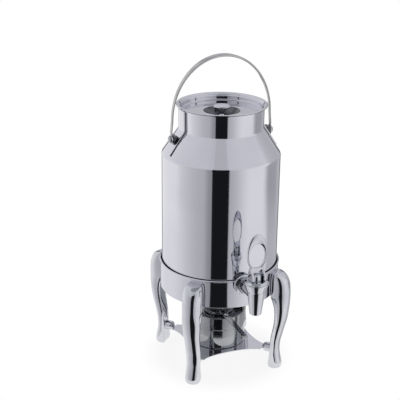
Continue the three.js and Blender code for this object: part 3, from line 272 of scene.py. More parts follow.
class Solid:
    """A closed mesh in millimetres about the urn's axis, until it is dressed."""

    def __init__(self, mesh: Optional[bmesh.types.BMesh] = None) -> None:
        """Starts with a mesh, or with an empty one."""
        self.mesh = mesh or bmesh.new()

    @classmethod
    def turned(cls, profile: Line, sides: int = TURNED_SIDES) -> "Solid":
        """Turns a closed profile about Z.

        Args:
            profile: Points of radius and height. One that starts and ends on the axis is closed there.
            sides: The number of sides.

        Returns:
            The turned solid.
        """
        made = cls()
        on_axis = abs(profile[0][0]) < 1e-6 and abs(profile[-1][0]) < 1e-6
        rings = []
        for radius, height in profile:
            if abs(radius) < 1e-6:
                rings.append([made.mesh.verts.new((0, 0, height))])
                continue
            rings.append([
                made.mesh.verts.new((radius * math.cos(a), radius * math.sin(a), height))
                for a in (FULL_TURN * i / sides for i in range(sides))
            ])
        pairs = list(zip(rings, rings[1:])) + ([] if on_axis else [(rings[-1], rings[0])])
        for low, high in pairs:
            for i in range(sides):
                k = (i + 1) % sides
                corners = [low[i % len(low)], low[k % len(low)], high[k % len(high)], high[i % len(high)]]
                unique = list(dict.fromkeys(corners))
                if len(unique) > 2:
                    made.mesh.faces.new(unique)
        return made.facing_out()

    @classmethod
    def lofted(cls, rings: Rings, closed: bool = False) -> "Solid":
        """Joins rings of points with the same count.

        Args:
            rings: The rings, in order.
            closed: True where the last ring joins the first, otherwise both ends are capped.

        Returns:
            The lofted solid.
        """
        made = cls()
        loops = [[made.mesh.verts.new(point) for point in ring] for ring in rings]
        pairs = list(zip(loops, loops[1:])) + ([(loops[-1], loops[0])] if closed else [])
        for low, high in pairs:
            for i in range(len(low)):
                k = (i + 1) % len(low)
                made.mesh.faces.new((low[i], low[k], high[k], high[i]))
        if not closed:
            made.mesh.faces.new(loops[0][::-1])
            made.mesh.faces.new(loops[-1])
        return made.facing_out()

    @classmethod
    def raised(cls, outline: Line, low: float, high: float) -> "Solid":
        """Raises a flat outline along Z between two heights."""
        return cls.lofted([[Vector((x, y, z)) for x, y in outline] for z in (low, high)])

    @classmethod
    def bar(cls, radius: float, low: float, high: float, edge: float = 0.0, sides: int = FINE_SIDES) -> "Solid":
        """A round bar about Z.

        Args:
            radius: Its radius.
            low: Its lower end.
            high: Its upper end.
            edge: The radius of its rounded edges.
            sides: The number of sides.

        Returns:
            The bar.
        """
        corners = [(0, low), (radius, low, edge), (radius, high, edge), (0, high)]
        return cls.turned(rounded(corners if edge else [c[:2] for c in corners], 4), sides)

    def facing_out(self) -> "Solid":
        """Turns all faces round if the solid is inside out."""
        self.mesh.normal_update()
        if self.mesh.calc_volume(signed=True) < 0:
            bmesh.ops.reverse_faces(self.mesh, faces=self.mesh.faces)
        return self

    def moved(self, matrix: Matrix) -> "Solid":
        """Moves the solid, in place."""
        self.mesh.transform(matrix)
        return self

    def shifted(self, x: float = 0.0, y: float = 0.0, z: float = 0.0) -> "Solid":
        """Shifts the solid, in place."""
        return self.moved(Matrix.Translation((x, y, z)))

    def turned_by(self, angle: float, axis: str = "Z") -> "Solid":
        """Turns the solid about an axis through the origin, in place."""
        return self.moved(Matrix.Rotation(angle, 4, axis))

    def bevelled(self, width: float, steps: int = 2, above: float = math.radians(30)) -> "Solid":
        """Rounds the edges that are sharper than an angle.

        Args:
            width: The width of the rounding.
            steps: The number of steps in it.
            above: The least angle between the faces of an edge that is rounded.

        Returns:
            The same solid.
        """
        edges = [e for e in self.mesh.edges if e.is_manifold and e.calc_face_angle(0) > above]
        bmesh.ops.bevel(
            self.mesh, geom=edges, offset=width, segments=steps, profile=0.5, affect="EDGES", clamp_overlap=True
        )
        return self

    def with_shell(self, other: "Solid") -> "Solid":
        """Takes the faces of another solid in, as a shell of its own."""
        spare = bpy.data.meshes.new("spare")
        other.mesh.to_mesh(spare)
        self.mesh.from_mesh(spare)
        bpy.data.meshes.remove(spare)
        other.mesh.free()
        return self

    def combined(self, other: "Solid", how: Combine) -> "Solid":
        """Combines the solid with another one.

        Args:
            other: The other solid, which is used up.
            how: Whether it is added, cut away or kept in common.

        Returns:
            The same solid.
        """
        pair = []
        for solid in (self, other):
            mesh = bpy.data.meshes.new("work")
            solid.mesh.to_mesh(mesh)
            pair.append(bpy.data.objects.new("work", mesh))
            bpy.context.scene.collection.objects.link(pair[-1])
        modifier = pair[0].modifiers.new("combine", "BOOLEAN")
        modifier.operation = how.value
        modifier.solver = "EXACT"
        modifier.object = pair[1]
        result = baked(pair[0])
        self.mesh.clear()
        self.mesh.from_mesh(result)
        for spare in pair:
            mesh = spare.data
            bpy.data.objects.remove(spare)
            bpy.data.meshes.remove(mesh)
        bpy.data.meshes.remove(result)
        other.mesh.free()
        return self


def baked(item: bpy.types.Object) -> bpy.types.Mesh:
    """The mesh of an object with its modifiers applied."""
    bpy.context.view_layer.update()
    graph = bpy.context.evaluated_depsgraph_get()
    ready = item.evaluated_get(graph)
    return bpy.data.meshes.new_from_object(ready, preserve_all_data_layers=True, depsgraph=graph)


def forward(solid: Solid, height: float) -> Solid:
    """Lays a solid that stands on Z along -Y, at a height."""
    return solid.turned_by(QUARTER_TURN, "X").shifted(z=height)


# Geometry Nodes


@dataclass(frozen=True)
class TurningTree:
    """Turns a profile about Z: the sheet pieces of the urn are spun or rolled, so one rule makes them all."""

    name: str = "turning"
    hub: float = 0.0001

    def build(self) -> bpy.types.NodeTree:
        """Builds the tree: the profile is swept round a small circle and its poles are closed."""
        tree = bpy.data.node_groups.new(self.name, "GeometryNodeTree")
        face = tree.interface
        face.new_socket(name="Profile", in_out="INPUT", socket_type="NodeSocketGeometry")
        face.new_socket(name="Sides", in_out="INPUT", socket_type="NodeSocketInt")
        face.new_socket(name="Metal", in_out="INPUT", socket_type="NodeSocketMaterial")
        face.new_socket(name="Geometry", in_out="OUTPUT", socket_type="NodeSocketGeometry")
        given = add_node(tree, "NodeGroupInput").outputs
        circle = add_node(
            tree, "GeometryNodeCurvePrimitiveCircle", inputs={"Resolution": given["Sides"], "Radius": self.hub}
        )
        place = add_node(tree, "GeometryNodeInputPosition")
        parts = add_node(tree, "ShaderNodeSeparateXYZ", inputs={0: place.outputs[0]})
        inward = add_node(
            tree, "ShaderNodeMath", {"operation": "SUBTRACT"}, {0: self.hub, 1: parts.outputs["X"]}
        )
        down = add_node(tree, "ShaderNodeMath", {"operation": "MULTIPLY"}, {0: parts.outputs["Z"], 1: -1.0})
        section = add_node(
            tree, "ShaderNodeCombineXYZ", inputs={"X": inward.outputs[0], "Y": down.outputs[0]}
        )
        laid = add_node(
            tree, "GeometryNodeSetPosition", inputs={"Geometry": given["Profile"], "Position": section.outputs[0]}
        )
        curve = add_node(tree, "GeometryNodeMeshToCurve", inputs={"Mesh": laid.outputs[0]})
        swept = add_node(
            tree,
            "GeometryNodeCurveToMesh",
            inputs={"Curve": circle.outputs["Curve"], "Profile Curve": curve.outputs[0]},
        )
        closed = add_node(
            tree, "GeometryNodeMergeByDistance", inputs={"Geometry": swept.outputs[0], "Distance": 1e-6}
        )
        real = add_node(tree, "GeometryNodeRealizeInstances", inputs={"Geometry": closed.outputs[0]})
        dressed = add_node(
            tree, "GeometryNodeSetMaterial", inputs={"Geometry": real.outputs[0], "Material": given["Metal"]}
        )
        add_node(tree, "NodeGroupOutput", inputs={0: dressed.outputs[0]})
        return tree


@dataclass(frozen=True)
class RingTree:
    """Repeats a small piece round the urn's axis."""

    name: str = "ring"

    def build(self) -> bpy.types.NodeTree:
        """Builds the tree: the piece is set on the corners of a circle and turned to face the axis."""
        tree = bpy.data.node_groups.new(self.name, "GeometryNodeTree")
        face = tree.interface
        face.new_socket(name="Piece", in_out="INPUT", socket_type="NodeSocketGeometry")
        face.new_socket(name="Count", in_out="INPUT", socket_type="NodeSocketInt")
        face.new_socket(name="Circle radius", in_out="INPUT", socket_type="NodeSocketFloat")
        face.new_socket(name="First turn", in_out="INPUT", socket_type="NodeSocketFloat")
        face.new_socket(name="Axis", in_out="INPUT", socket_type="NodeSocketVector")
        face.new_socket(name="Metal", in_out="INPUT", socket_type="NodeSocketMaterial")
        face.new_socket(name="Geometry", in_out="OUTPUT", socket_type="NodeSocketGeometry")
        given = add_node(tree, "NodeGroupInput").outputs
        circle = add_node(
            tree,
            "GeometryNodeMeshCircle",
            inputs={"Vertices": given["Count"], "Radius": given["Circle radius"]},
        )
        turn = add_node(tree, "ShaderNodeCombineXYZ", inputs={"Z": given["First turn"]})
        placed = add_node(
            tree,
            "GeometryNodeTransform",
            inputs={"Geometry": circle.outputs[0], "Translation": given["Axis"], "Rotation": turn.outputs[0]},
        )
        number = add_node(tree, "GeometryNodeInputIndex")
        step = add_node(tree, "ShaderNodeMath", {"operation": "DIVIDE"}, {0: FULL_TURN, 1: given["Count"]})
        angle = add_node(
            tree,
            "ShaderNodeMath",
            {"operation": "MULTIPLY_ADD"},
            {0: number.outputs[0], 1: step.outputs[0], 2: given["First turn"]},
        )
        facing = add_node(tree, "ShaderNodeCombineXYZ", inputs={"Z": angle.outputs[0]})
        spread = add_node(
            tree,
            "GeometryNodeInstanceOnPoints",
            inputs={"Points": placed.outputs[0], "Instance": given["Piece"], "Rotation": facing.outputs[0]},
        )
        real = add_node(tree, "GeometryNodeRealizeInstances", inputs={"Geometry": spread.outputs[0]})
        dressed = add_node(
            tree, "GeometryNodeSetMaterial", inputs={"Geometry": real.outputs[0], "Material": given["Metal"]}
        )
        add_node(tree, "NodeGroupOutput", inputs={0: dressed.outputs[0]})
        return tree


def grown(mesh: bpy.types.Mesh, tree: bpy.types.NodeTree, values: dict[str, object]) -> bpy.types.Mesh:
    """Runs a mesh through a geometry tree and keeps the result as a plain mesh.

    Args:
        mesh: The mesh that goes in, which is removed.
        tree: The tree.
        values: The tree's inputs by name.

    Returns:
        The plain mesh.
    """
    carrier = bpy.data.objects.new("carrier", mesh)
    bpy.context.scene.collection.objects.link(carrier)
    modifier = carrier.modifiers.new(tree.name, "NODES")
    modifier.node_group = tree
    sockets = {item.name: item.identifier for item in tree.interface.items_tree if item.in_out == "INPUT"}
    for name, value in values.items():
        modifier[sockets[name]] = value
    result = baked(carrier)
    carrier.modifiers.remove(modifier)
    bpy.data.objects.remove(carrier)
    bpy.data.meshes.remove(mesh)
    return result


# Finishes


@dataclass(frozen=True)
class SteelFinish:
    """A stainless steel surface: colours, gloss, and the marks and waviness that its making leaves.

    Lengths are in millimetres. A polished steel has a roughness near 0.05; a turned or drawn one is duller.
    """

    name: str
    slot: Slot
    lay: Lay
    light: str
    dark: str
    roughness: float
    roughness_spread: float
    wave_size: float
    wave_height: float
    mark_spacing: float
    mark_height: float

    def material(self) -> bpy.types.Material:
        """The finish's material, built when it is first asked for."""
        return bpy.data.materials.get(self.name) or self._build()

    def _build(self) -> bpy.types.Material:
        """Builds the nodes: slow changes of tone, polishing marks in the gloss, and bumps of both sizes."""
        made = bpy.data.materials.new(self.name)
        made.use_nodes = True
        tree = made.node_tree
        tree.nodes.clear()
        place = add_node(tree, "ShaderNodeTexCoord").outputs["Object"]
        centred = add_node(
            tree,
            "ShaderNodeMapping",
            {"vector_type": "POINT"},
            {"Vector": place, "Location": tuple(-METRES * URN_AXIS)},
        ).outputs[0]
        waves = add_node(
            tree,
            "ShaderNodeTexNoise",
            {"noise_dimensions": "3D"},
            {"Vector": centred, "Scale": 1 / (METRES * self.wave_size), "Detail": 1.0, "Roughness": 0.4},
        ).outputs[0]
        marks = add_node(
            tree,
            "ShaderNodeTexNoise",
            {"noise_dimensions": "3D"},
            {
                "Vector": self._mark_place(tree, centred),
                "Scale": 1 / (METRES * self.mark_spacing),
                "Detail": 3.0,
                "Roughness": 0.6,
            },
        ).outputs[0]
        tone = add_node(tree, "ShaderNodeValToRGB", inputs={"Fac": waves})
        set_stops(tone.color_ramp, [(0.3, self.dark), (0.7, self.light)])
        gloss = add_node(
            tree,
            "ShaderNodeMapRange",
            inputs={
                "Value": marks,
                "From Min": 0.3,
                "From Max": 0.75,
                "To Min": self.roughness,
                "To Max": self.roughness + self.roughness_spread,
            },
        )
        wavy = add_node(
            tree,
            "ShaderNodeBump",
            inputs={"Strength": 1.0, "Distance": METRES * self.wave_height, "Height": waves},
        )
        marked = add_node(
            tree,
            "ShaderNodeBump",
            inputs={
                "Strength": 1.0,
                "Distance": METRES * self.mark_height,
                "Height": marks,
                "Normal": wavy.outputs[0],
            },
        )
        shader = add_node(
            tree,
            "ShaderNodeBsdfPrincipled",
            inputs={
                "Base Color": tone.outputs["Color"],
                "Metallic": 1.0,
                "Roughness": gloss.outputs["Result"],
                "Normal": marked.outputs[0],
            },
        )
        add_node(tree, "ShaderNodeOutputMaterial", inputs={"Surface": shader.outputs[0]})
        return made

    def _mark_place(self, tree: bpy.types.NodeTree, place: bpy.types.NodeSocket) -> bpy.types.NodeSocket:
        """Where the marks are read: on rings about the urn's axis for a spun piece, and in drawn-out
        patches for a buffed one.

        Args:
            tree: The material's tree.
            place: The place about the urn's axis.

        Returns:
            The place that the marks' noise reads.
        """
        if self.lay is Lay.BUFFED:
            return add_node(
                tree, "ShaderNodeMapping", {"vector_type": "POINT"}, {"Vector": place, "Scale": (1.0, 1.0, 0.15)}
            ).outputs[0]
        parts = add_node(tree, "ShaderNodeSeparateXYZ", inputs={0: place}).outputs
        flat = add_node(tree, "ShaderNodeCombineXYZ", inputs={"X": parts["X"], "Y": parts["Y"]})
        radius = add_node(tree, "ShaderNodeVectorMath", {"operation": "LENGTH"}, {0: flat.outputs[0]})
        along = add_node(tree, "ShaderNodeMath", {"operation": "MULTIPLY"}, {0: parts["X"], 1: 0.02})
        return add_node(
            tree,
            "ShaderNodeCombineXYZ",
            inputs={"X": radius.outputs["Value"], "Y": along.outputs[0], "Z": parts["Z"]},
        ).outputs[0]


@dataclass(frozen=True)
class SiliconeFinish:
    """Moulded food-grade silicone: milky, matt, with the faint mottle of a spark-eroded mould."""

    name: str = "moulded_silicone"
    slot: Slot = Slot.SILICONE
    light: str = "E8E6DF"
    dark: str = "D9D6CC"
    roughness: float = 0.5
    grain_size: float = 1.2
    grain_height: float = 0.02

    def material(self) -> bpy.types.Material:
        """The finish's material, built when it is first asked for."""
        return bpy.data.materials.get(self.name) or self._build()

    def _build(self) -> bpy.types.Material:
        """Builds the nodes: a mottle in the colour and a fine bump."""
        made = bpy.data.materials.new(self.name)
        made.use_nodes = True
        tree = made.node_tree
        tree.nodes.clear()
        place = add_node(tree, "ShaderNodeTexCoord").outputs["Object"]
        grain = add_node(
            tree,
            "ShaderNodeTexNoise",
            inputs={"Vector": place, "Scale": 1 / (METRES * self.grain_size), "Detail": 4.0},
        ).outputs[0]
        tone = add_node(tree, "ShaderNodeValToRGB", inputs={"Fac": grain})
        set_stops(tone.color_ramp, [(0.3, self.dark), (0.7, self.light)])
        bump = add_node(
            tree,
            "ShaderNodeBump",
            inputs={"Strength": 1.0, "Distance": METRES * self.grain_height, "Height": grain},
        )
        shader = add_node(
            tree,
            "ShaderNodeBsdfPrincipled",
            inputs={
                "Base Color": tone.outputs["Color"],
                "Roughness": self.roughness,
                "Subsurface Weight": 0.15,
                "Normal": bump.outputs[0],
            },
        )
        add_node(tree, "ShaderNodeOutputMaterial", inputs={"Surface": shader.outputs[0]})
        return made


Finish = Union[SteelFinish, SiliconeFinish]

# Sheet of 18/10 stainless steel, spun or rolled and then mirror-polished. The eye sees clean reflections that
# swim a little, because the thin sheet is never quite true, and faint rings from the last mop. The mop's lines
# are 0.02 mm apart on the real sheet, too fine to show, and are drawn 0.8 mm apart.
POLISHED_SHEET = SteelFinish(
    "mirror_polished_steel_sheet", Slot.POLISHED, Lay.SPUN, "DBDBE2", "D5D5DC", 0.035, 0.045, 70, 0.03, 0.8, 0.0004
)
# Investment-cast stainless steel, ground and mopped by hand. The reflections are softer than on sheet and
# ripple over a few millimetres where the grinding belt has worked.
POLISHED_CASTING = SteelFinish(
    "mopped_steel_casting", Slot.CAST, Lay.BUFFED, "D9DADF", "CED0D5", 0.05, 0.05, 26, 0.05, 1.2, 0.0008
)
# Deep-drawn steel of the burner, polished less. The draw leaves upright lines and a greyer gloss.
DRAWN_BURNER = SteelFinish(
    "drawn_burner_steel", Slot.BURNER, Lay.BUFFED, "ABADAF", "97999C", 0.07, 0.06, 32, 0.03, 0.9, 0.0008
)
# Steel coloured dark as painted shade and painted dark reflection. It goes on the inside of the lid's dish, the
# underside of its brim, the straps' undersides and cut ends, and the pivot blocks, and it mirrors dimly.
PAINTED_SHADE_STEEL = SteelFinish(
    "painted_shade_steel", Slot.POLISHED, Lay.SPUN, "6A6C70", "3C3E41", 0.07, 0.08, 14, 0.12, 0.9, 0.002
)
# Flat steel bar, brushed along its length. It is greyer than the mopped sheet and spreads what it mirrors.
BRUSHED_BAR = SteelFinish(
    "brushed_steel_bar", Slot.POLISHED, Lay.BUFFED, "C6C6C6", "B4B4B3", 0.06, 0.07, 24, 0.04, 0.8, 0.0015
)
# Turned screws, nuts and pins. The tool's feed, about 0.1 mm, is drawn 0.6 mm apart so that it shows.
TURNED_FASTENER = SteelFinish(
    "turned_fastener_steel", Slot.FASTENER, Lay.SPUN, "C2C2C8", "ABABB2", 0.14, 0.12, 12, 0.02, 0.6, 0.002
)
SILICONE = SiliconeFinish()


# Dressing


def dressed(
    name: str, made: Union[Solid, bpy.types.Mesh], finish: Finish, body: Body, nodes: Sequence[str] = ()
) -> bpy.types.Object:
    """Makes a piece of the scene from a solid: its mesh, finish, body and the CAD nodes it stands for.

    Args:
        name: The piece's name.
        made: The solid in millimetres, or a plain mesh in metres.
        finish: Its finish.
        body: The body that it rides on.
        nodes: The CAD nodes that it replaces.

    Returns:
        The piece.
    """
    if isinstance(made, Solid):
        mesh = bpy.data.meshes.new(name)
        made.mesh.transform(TO_SCENE)
        made.mesh.to_mesh(mesh)
        made.mesh.free()
    else:
        mesh = made
        mesh.name = name
    mesh.materials.clear()
    mesh.materials.append(finish.material())
    mesh.polygons.foreach_set("use_smooth", [True] * len(mesh.polygons))
    mesh.set_sharp_from_angle(angle=CREASE)
    item = bpy.data.objects.new(name, mesh)
    bpy.context.scene.collection.objects.link(item)
    true_up(item)
    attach(item, body.value)
    if nodes:
        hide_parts(*nodes)
    log.info("%s: %d faces, %s, on %s", name, len(item.data.polygons), finish.name, body.value)
    return item


def true_up(item: bpy.types.Object) -> None:
    """Weighs a piece's normals by face area, so that broad flat faces mirror true beside small roundings."""
    modifier = item.modifiers.new("true_up", "WEIGHTED_NORMAL")
    modifier.keep_sharp = True
    modifier.weight = 50
    rough = item.data
    name = rough.name
    item.data = baked(item)
    item.modifiers.remove(modifier)
    bpy.data.meshes.remove(rough)
    item.data.name = name


def paint_shade_on(item: bpy.types.Object, there: Callable[[float, float, Vector], bool]) -> None:
    """Paints shade on some of a piece's faces: they take the dark painted-shade steel.

    Args:
        item: The piece.
        there: Tells from a face's distance from the urn's axis, its height and its normal, in millimetres,
            whether it is one of them.
    """
    item.data.materials.append(PAINTED_SHADE_STEEL.material())
    for face in item.data.polygons:
        centre = (face.center - METRES * URN_AXIS) / METRES
        if there(math.hypot(centre.x, centre.y), centre.z, face.normal):
            face.material_index = 1


def redress(node: str, finish: Finish) -> None:
    """Gives a CAD node that stays in the scene its material."""
    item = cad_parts[node]
    if item.material_slots:
        for place in item.material_slots:
            place.material = finish.material()
    else:
        item.data.materials.append(finish.material())
    log.info("%s: CAD node kept, %s", node, finish.name)


class Workshop:
    """The geometry trees that several sub-assemblies share."""

    def __init__(self) -> None:
        """Builds each tree once."""
        self.turning = TurningTree().build()
        self.ring = RingTree().build()

    def spun(self, profile: Line, finish: Finish, sides: int = TURNED_SIDES) -> bpy.types.Mesh:
        """Turns a closed profile about the urn's axis with Geometry Nodes.

        Args:
            profile: Points of radius and height in millimetres.
            finish: The finish of the result.
            sides: The number of sides.

        Returns:
            A plain mesh in metres.
        """
        section = bpy.data.meshes.new("section")
        count = len(profile)
        on_axis = abs(profile[0][0]) < 1e-6 and abs(profile[-1][0]) < 1e-6
        edges = [(i, i + 1) for i in range(count - 1)] + ([] if on_axis else [(count - 1, 0)])
        section.from_pydata([(r * METRES, 0, z * METRES) for r, z in profile], edges, [])
        mesh = grown(section, self.turning, {"Sides": sides, "Metal": finish.material()})
        solid = Solid()
        solid.mesh.from_mesh(mesh)
        solid.facing_out()
        solid.mesh.transform(Matrix.Translation(METRES * URN_AXIS))
        solid.mesh.to_mesh(mesh)
        solid.mesh.free()
        return mesh

    def spun_solid(self, profile: Line, finish: Finish, sides: int = TURNED_SIDES) -> Solid:
        """The same as a solid in millimetres, for a piece that is cut afterwards."""
        mesh = self.spun(profile, finish, sides)
        solid = Solid()
        solid.mesh.from_mesh(mesh)
        bpy.data.meshes.remove(mesh)
        return solid.moved(TO_SCENE.inverted())

    def ringed(self, piece: Solid, finish: Finish, count: int, radius: float, first: float) -> bpy.types.Mesh:
        """Repeats a piece round the urn's axis with Geometry Nodes.

        Args:
            piece: The piece about its own Z axis, in millimetres.
            finish: Its finish.
            count: How many there are.
            radius: Their distance from the axis in millimetres.
            first: The angle of the first one.

        Returns:
            A plain mesh in metres with all of them.
        """
        mesh = bpy.data.meshes.new("one")
        piece.mesh.transform(Matrix.Scale(METRES, 4))
        piece.mesh.to_mesh(mesh)
        piece.mesh.free()
        values = {
            "Count": count,
            "Circle radius": radius * METRES,
            "First turn": first,
            "Axis": tuple(METRES * URN_AXIS),
            "Metal": finish.material(),
        }
        return grown(mesh, self.ring, values)


# Studio


@dataclass(frozen=True)
class Screen:
    """A soft box, flag or curtain that stands against the studio's wall.

    Places round the table are in degrees, with the camera at 0 and the right side positive. Heights are sines of
    the angle above the table's middle.
    """

    name: str
    colour: str
    starts: tuple[float, float]
    ends: tuple[float, float]
    foot: Optional[tuple[float, float]] = None
    head: Optional[tuple[float, float]] = None
    cover: float = 1.0


@dataclass
class Studio:
    """A white room: a small round table, a shell of soft light round it, and the camera of the photograph."""

    place: tuple[float, float, float] = (-583.7, -1347.0, 867.4)
    aim: tuple[float, float, float] = (-32.0, 48.1, 295.7)
    roll: float = math.radians(0.581)
    lens: float = 84.69
    sensor: float = 36.0
    sight: float = 20.0
    table_radius: float = 148.0
    table_thickness: float = 12.0
    shadow_middle: float = 0.6
    table_colour: str = "F7F7F9"
    shadow_share: float = 0.14
    shell_radius: float = 4000.0
    shell_centre: float = 250.0
    shell_columns: int = 72
    shell_rows: int = 36
    backdrop_half: float = math.radians(15)
    backdrop_top: float = 0.12
    wall: str = "C4C4C8"
    screens: tuple[Screen, ...] = (
        Screen("left_soft_box", "F4F4F6", (-160, -152), (-110, -30)),
        Screen("right_soft_box", "F4F4F6", (15, 60), (95, 110)),
        Screen("curtain_by_the_door", "A0A0A4", (-35, -20), (10, 20)),
        Screen("low_soft_box", "FFFFFF", (-170, -150), (-100, -80), (-0.4, -0.3), (-0.15, 0.1), 0.75),
        Screen("low_grey_flag", "B0B0B4", (85, 105), (125, 145), (-0.4, -0.3), (-0.15, 0.1)),
        Screen("left_edge_flag", "707074", (-166, -164), (-158, -156)),
        Screen("right_edge_flag", "707074", (152, 154), (164, 166)),
    )
    # Heights on the shell, as sines of the angle above the table's middle, where each change begins and is whole.
    ceiling: str = "DEDEE3"
    ceiling_from: float = 0.2
    ceiling_full: float = 0.56
    ceiling_share: float = 0.8
    doorway: str = "1A1C1E"
    doorway_half: float = 16.0
    doorway_place: float = -1.0
    doorway_edge: float = 1.0
    lintel_gone: float = 0.52
    lintel_full: float = 0.46
    doorway_above: float = 0.12
    doorway_flare: float = 12.0
    flare_from: float = -0.44
    flare_full: float = -0.62
    overhead: str = "9A9BA1"
    overhead_from: float = 0.9
    overhead_full: float = 0.94
    underneath: str = "2A2C2F"
    underneath_from: float = -0.9
    underneath_full: float = -0.97

    def build(self) -> None:
        """Builds the camera, the table, the shell of light and the white beyond it."""
        self._camera()
        self._table()
        self._shell()
        self._beyond()

    def _camera(self) -> None:
        """Sets the camera where the photograph was taken from, for a square picture."""
        data = bpy.data.cameras.new("camera")
        data.sensor_width = self.sensor
        data.lens = self.lens
        data.clip_end = self.sight
        camera = bpy.data.objects.new("camera", data)
        place, aim = METRES * Vector(self.place), METRES * Vector(self.aim)
        turn = (aim - place).to_track_quat("-Z", "Y").to_matrix().to_4x4()
        camera.matrix_world = Matrix.Translation(place) @ turn @ Matrix.Rotation(self.roll, 4, "Z")
        bpy.context.scene.collection.objects.link(camera)
        bpy.context.scene.camera = camera

    def _staged(self, name: str, solid: Solid, material: bpy.types.Material) -> bpy.types.Object:
        """Puts a thing of the studio in the scene.

        Args:
            name: Its name.
            solid: Its shape in millimetres.
            material: Its material.

        Returns:
            The object.
        """
        mesh = bpy.data.meshes.new(name)
        solid.mesh.transform(TO_SCENE)
        solid.mesh.to_mesh(mesh)
        solid.mesh.free()
        mesh.materials.append(material)
        item = bpy.data.objects.new(name, mesh)
        bpy.context.scene.collection.objects.link(item)
        return item

    def _table(self) -> None:
        """Makes the table top: white to the eye and to the steel that mirrors it, with the object's shadow kept
        in part."""
        made = bpy.data.materials.new("white_table_laminate")
        made.use_nodes = True
        tree = made.node_tree
        tree.nodes.clear()
        matt = add_node(
            tree, "ShaderNodeBsdfDiffuse", inputs={"Color": linear(self.table_colour), "Roughness": 0.5}
        )
        white = add_node(tree, "ShaderNodeEmission", inputs={"Strength": 1.0})
        rays = add_node(tree, "ShaderNodeLightPath").outputs
        seen = rays["Is Camera Ray"]
        for kind in ("Is Glossy Ray", "Is Transmission Ray"):
            seen = add_node(tree, "ShaderNodeMath", {"operation": "MAXIMUM"}, {0: seen, 1: rays[kind]}).outputs[0]
        share = add_node(tree, "ShaderNodeMath", {"operation": "MULTIPLY"}, {0: seen, 1: self._white_share(tree)})
        surface = add_node(
            tree, "ShaderNodeMixShader", inputs={0: share.outputs[0], 1: matt.outputs[0], 2: white.outputs[0]}
        )
        add_node(tree, "ShaderNodeOutputMaterial", inputs={"Surface": surface.outputs[0]})
        top = Solid.bar(self.table_radius, -self.table_thickness, 0, 4.0, TURNED_SIDES)
        self._staged("table_top", top, made)

    def _white_share(self, tree: bpy.types.NodeTree) -> bpy.types.NodeSocket:
        """How white the table looks: least in the middle, where the shadow lies, and wholly at its edge.

        Args:
            tree: The table's node tree.

        Returns:
            The share.
        """
        place = add_node(tree, "ShaderNodeTexCoord").outputs["Object"]
        centred = add_node(
            tree, "ShaderNodeVectorMath", {"operation": "SUBTRACT"}, {0: place, 1: tuple(METRES * URN_AXIS)}
        )
        radius = add_node(tree, "ShaderNodeVectorMath", {"operation": "LENGTH"}, {0: centred.outputs[0]})
        share = add_node(
            tree,
            "ShaderNodeMapRange",
            {"interpolation_type": "SMOOTHSTEP"},
            {
                "Value": radius.outputs["Value"],
                "From Min": METRES * self.table_radius * self.shadow_middle,
                "From Max": METRES * self.table_radius,
                "To Min": 1 - self.shadow_share,
                "To Max": 1.0,
            },
        )
        return share.outputs["Result"]

    def _shell(self) -> None:
        """Hangs a shell of soft light round the table, open behind the object. Only the steel and the table
        see it: soft boxes and flags against the walls, a dark doorway at the camera, a pale ceiling with a grey
        middle, and a dark floor far below."""
        made = bpy.data.materials.new("soft_box_cloth")
        made.use_nodes = True
        tree = made.node_tree
        tree.nodes.clear()
        place = add_node(tree, "ShaderNodeTexCoord").outputs["Object"]
        middle = METRES * (URN_AXIS + Vector((0, 0, self.shell_centre)))
        out = add_node(tree, "ShaderNodeVectorMath", {"operation": "SUBTRACT"}, {0: place, 1: tuple(middle)})
        way = add_node(tree, "ShaderNodeVectorMath", {"operation": "NORMALIZE"}, {0: out.outputs[0]})
        faced = add_node(
            tree,
            "ShaderNodeMapping",
            {"vector_type": "POINT"},
            {"Vector": way.outputs[0], "Rotation": (0.0, 0.0, -self._camera_turn())},
        )
        parts = add_node(tree, "ShaderNodeSeparateXYZ", inputs={0: faced.outputs[0]}).outputs
        ahead = add_node(tree, "ShaderNodeMath", {"operation": "MULTIPLY"}, {0: parts["Y"], 1: -1.0})
        angle = add_node(tree, "ShaderNodeMath", {"operation": "ARCTAN2"}, {0: parts["X"], 1: ahead.outputs[0]})
        degrees = add_node(tree, "ShaderNodeMath", {"operation": "DEGREES"}, {0: angle.outputs[0]}).outputs[0]
        wall = linear(self.wall)
        for screen in self.screens:
            there = self._screen_share(tree, screen, degrees, parts["Z"])
            wall = add_node(
                tree,
                "ShaderNodeMix",
                {"data_type": "RGBA", "label": screen.name},
                {0: there, 6: wall, 7: linear(screen.colour)},
            ).outputs[2]
        ceiling = self._band(tree, parts["Z"], self.ceiling_from, self.ceiling_full, 0.0, self.ceiling_share)
        room = add_node(
            tree, "ShaderNodeMix", {"data_type": "RGBA"}, {0: ceiling, 6: wall, 7: linear(self.ceiling)}
        )
        past = add_node(tree, "ShaderNodeMath", {"operation": "SUBTRACT"}, {0: degrees, 1: self.doorway_place})
        beside = add_node(tree, "ShaderNodeMath", {"operation": "ABSOLUTE"}, {0: past.outputs[0]})
        flare = self._band(tree, parts["Z"], self.flare_from, self.flare_full, 0.0, self.doorway_flare)
        narrowed = add_node(tree, "ShaderNodeMath", {"operation": "SUBTRACT"}, {0: beside.outputs[0], 1: flare})
        edge = self.doorway_half
        open_side = self._band(tree, narrowed.outputs[0], edge + self.doorway_edge, edge - self.doorway_edge)
        lintel = self._band(tree, parts["Z"], self.lintel_gone, self.lintel_full, self.doorway_above)
        open_here = add_node(tree, "ShaderNodeMath", {"operation": "MULTIPLY"}, {0: open_side, 1: lintel})
        shell = add_node(
            tree,
            "ShaderNodeMix",
            {"data_type": "RGBA"},
            {0: open_here.outputs[0], 6: room.outputs[2], 7: linear(self.doorway)},
        )
        shade = shell.outputs[2]
        for start, full, colour in (
            (self.overhead_from, self.overhead_full, self.overhead),
            (self.underneath_from, self.underneath_full, self.underneath),
        ):
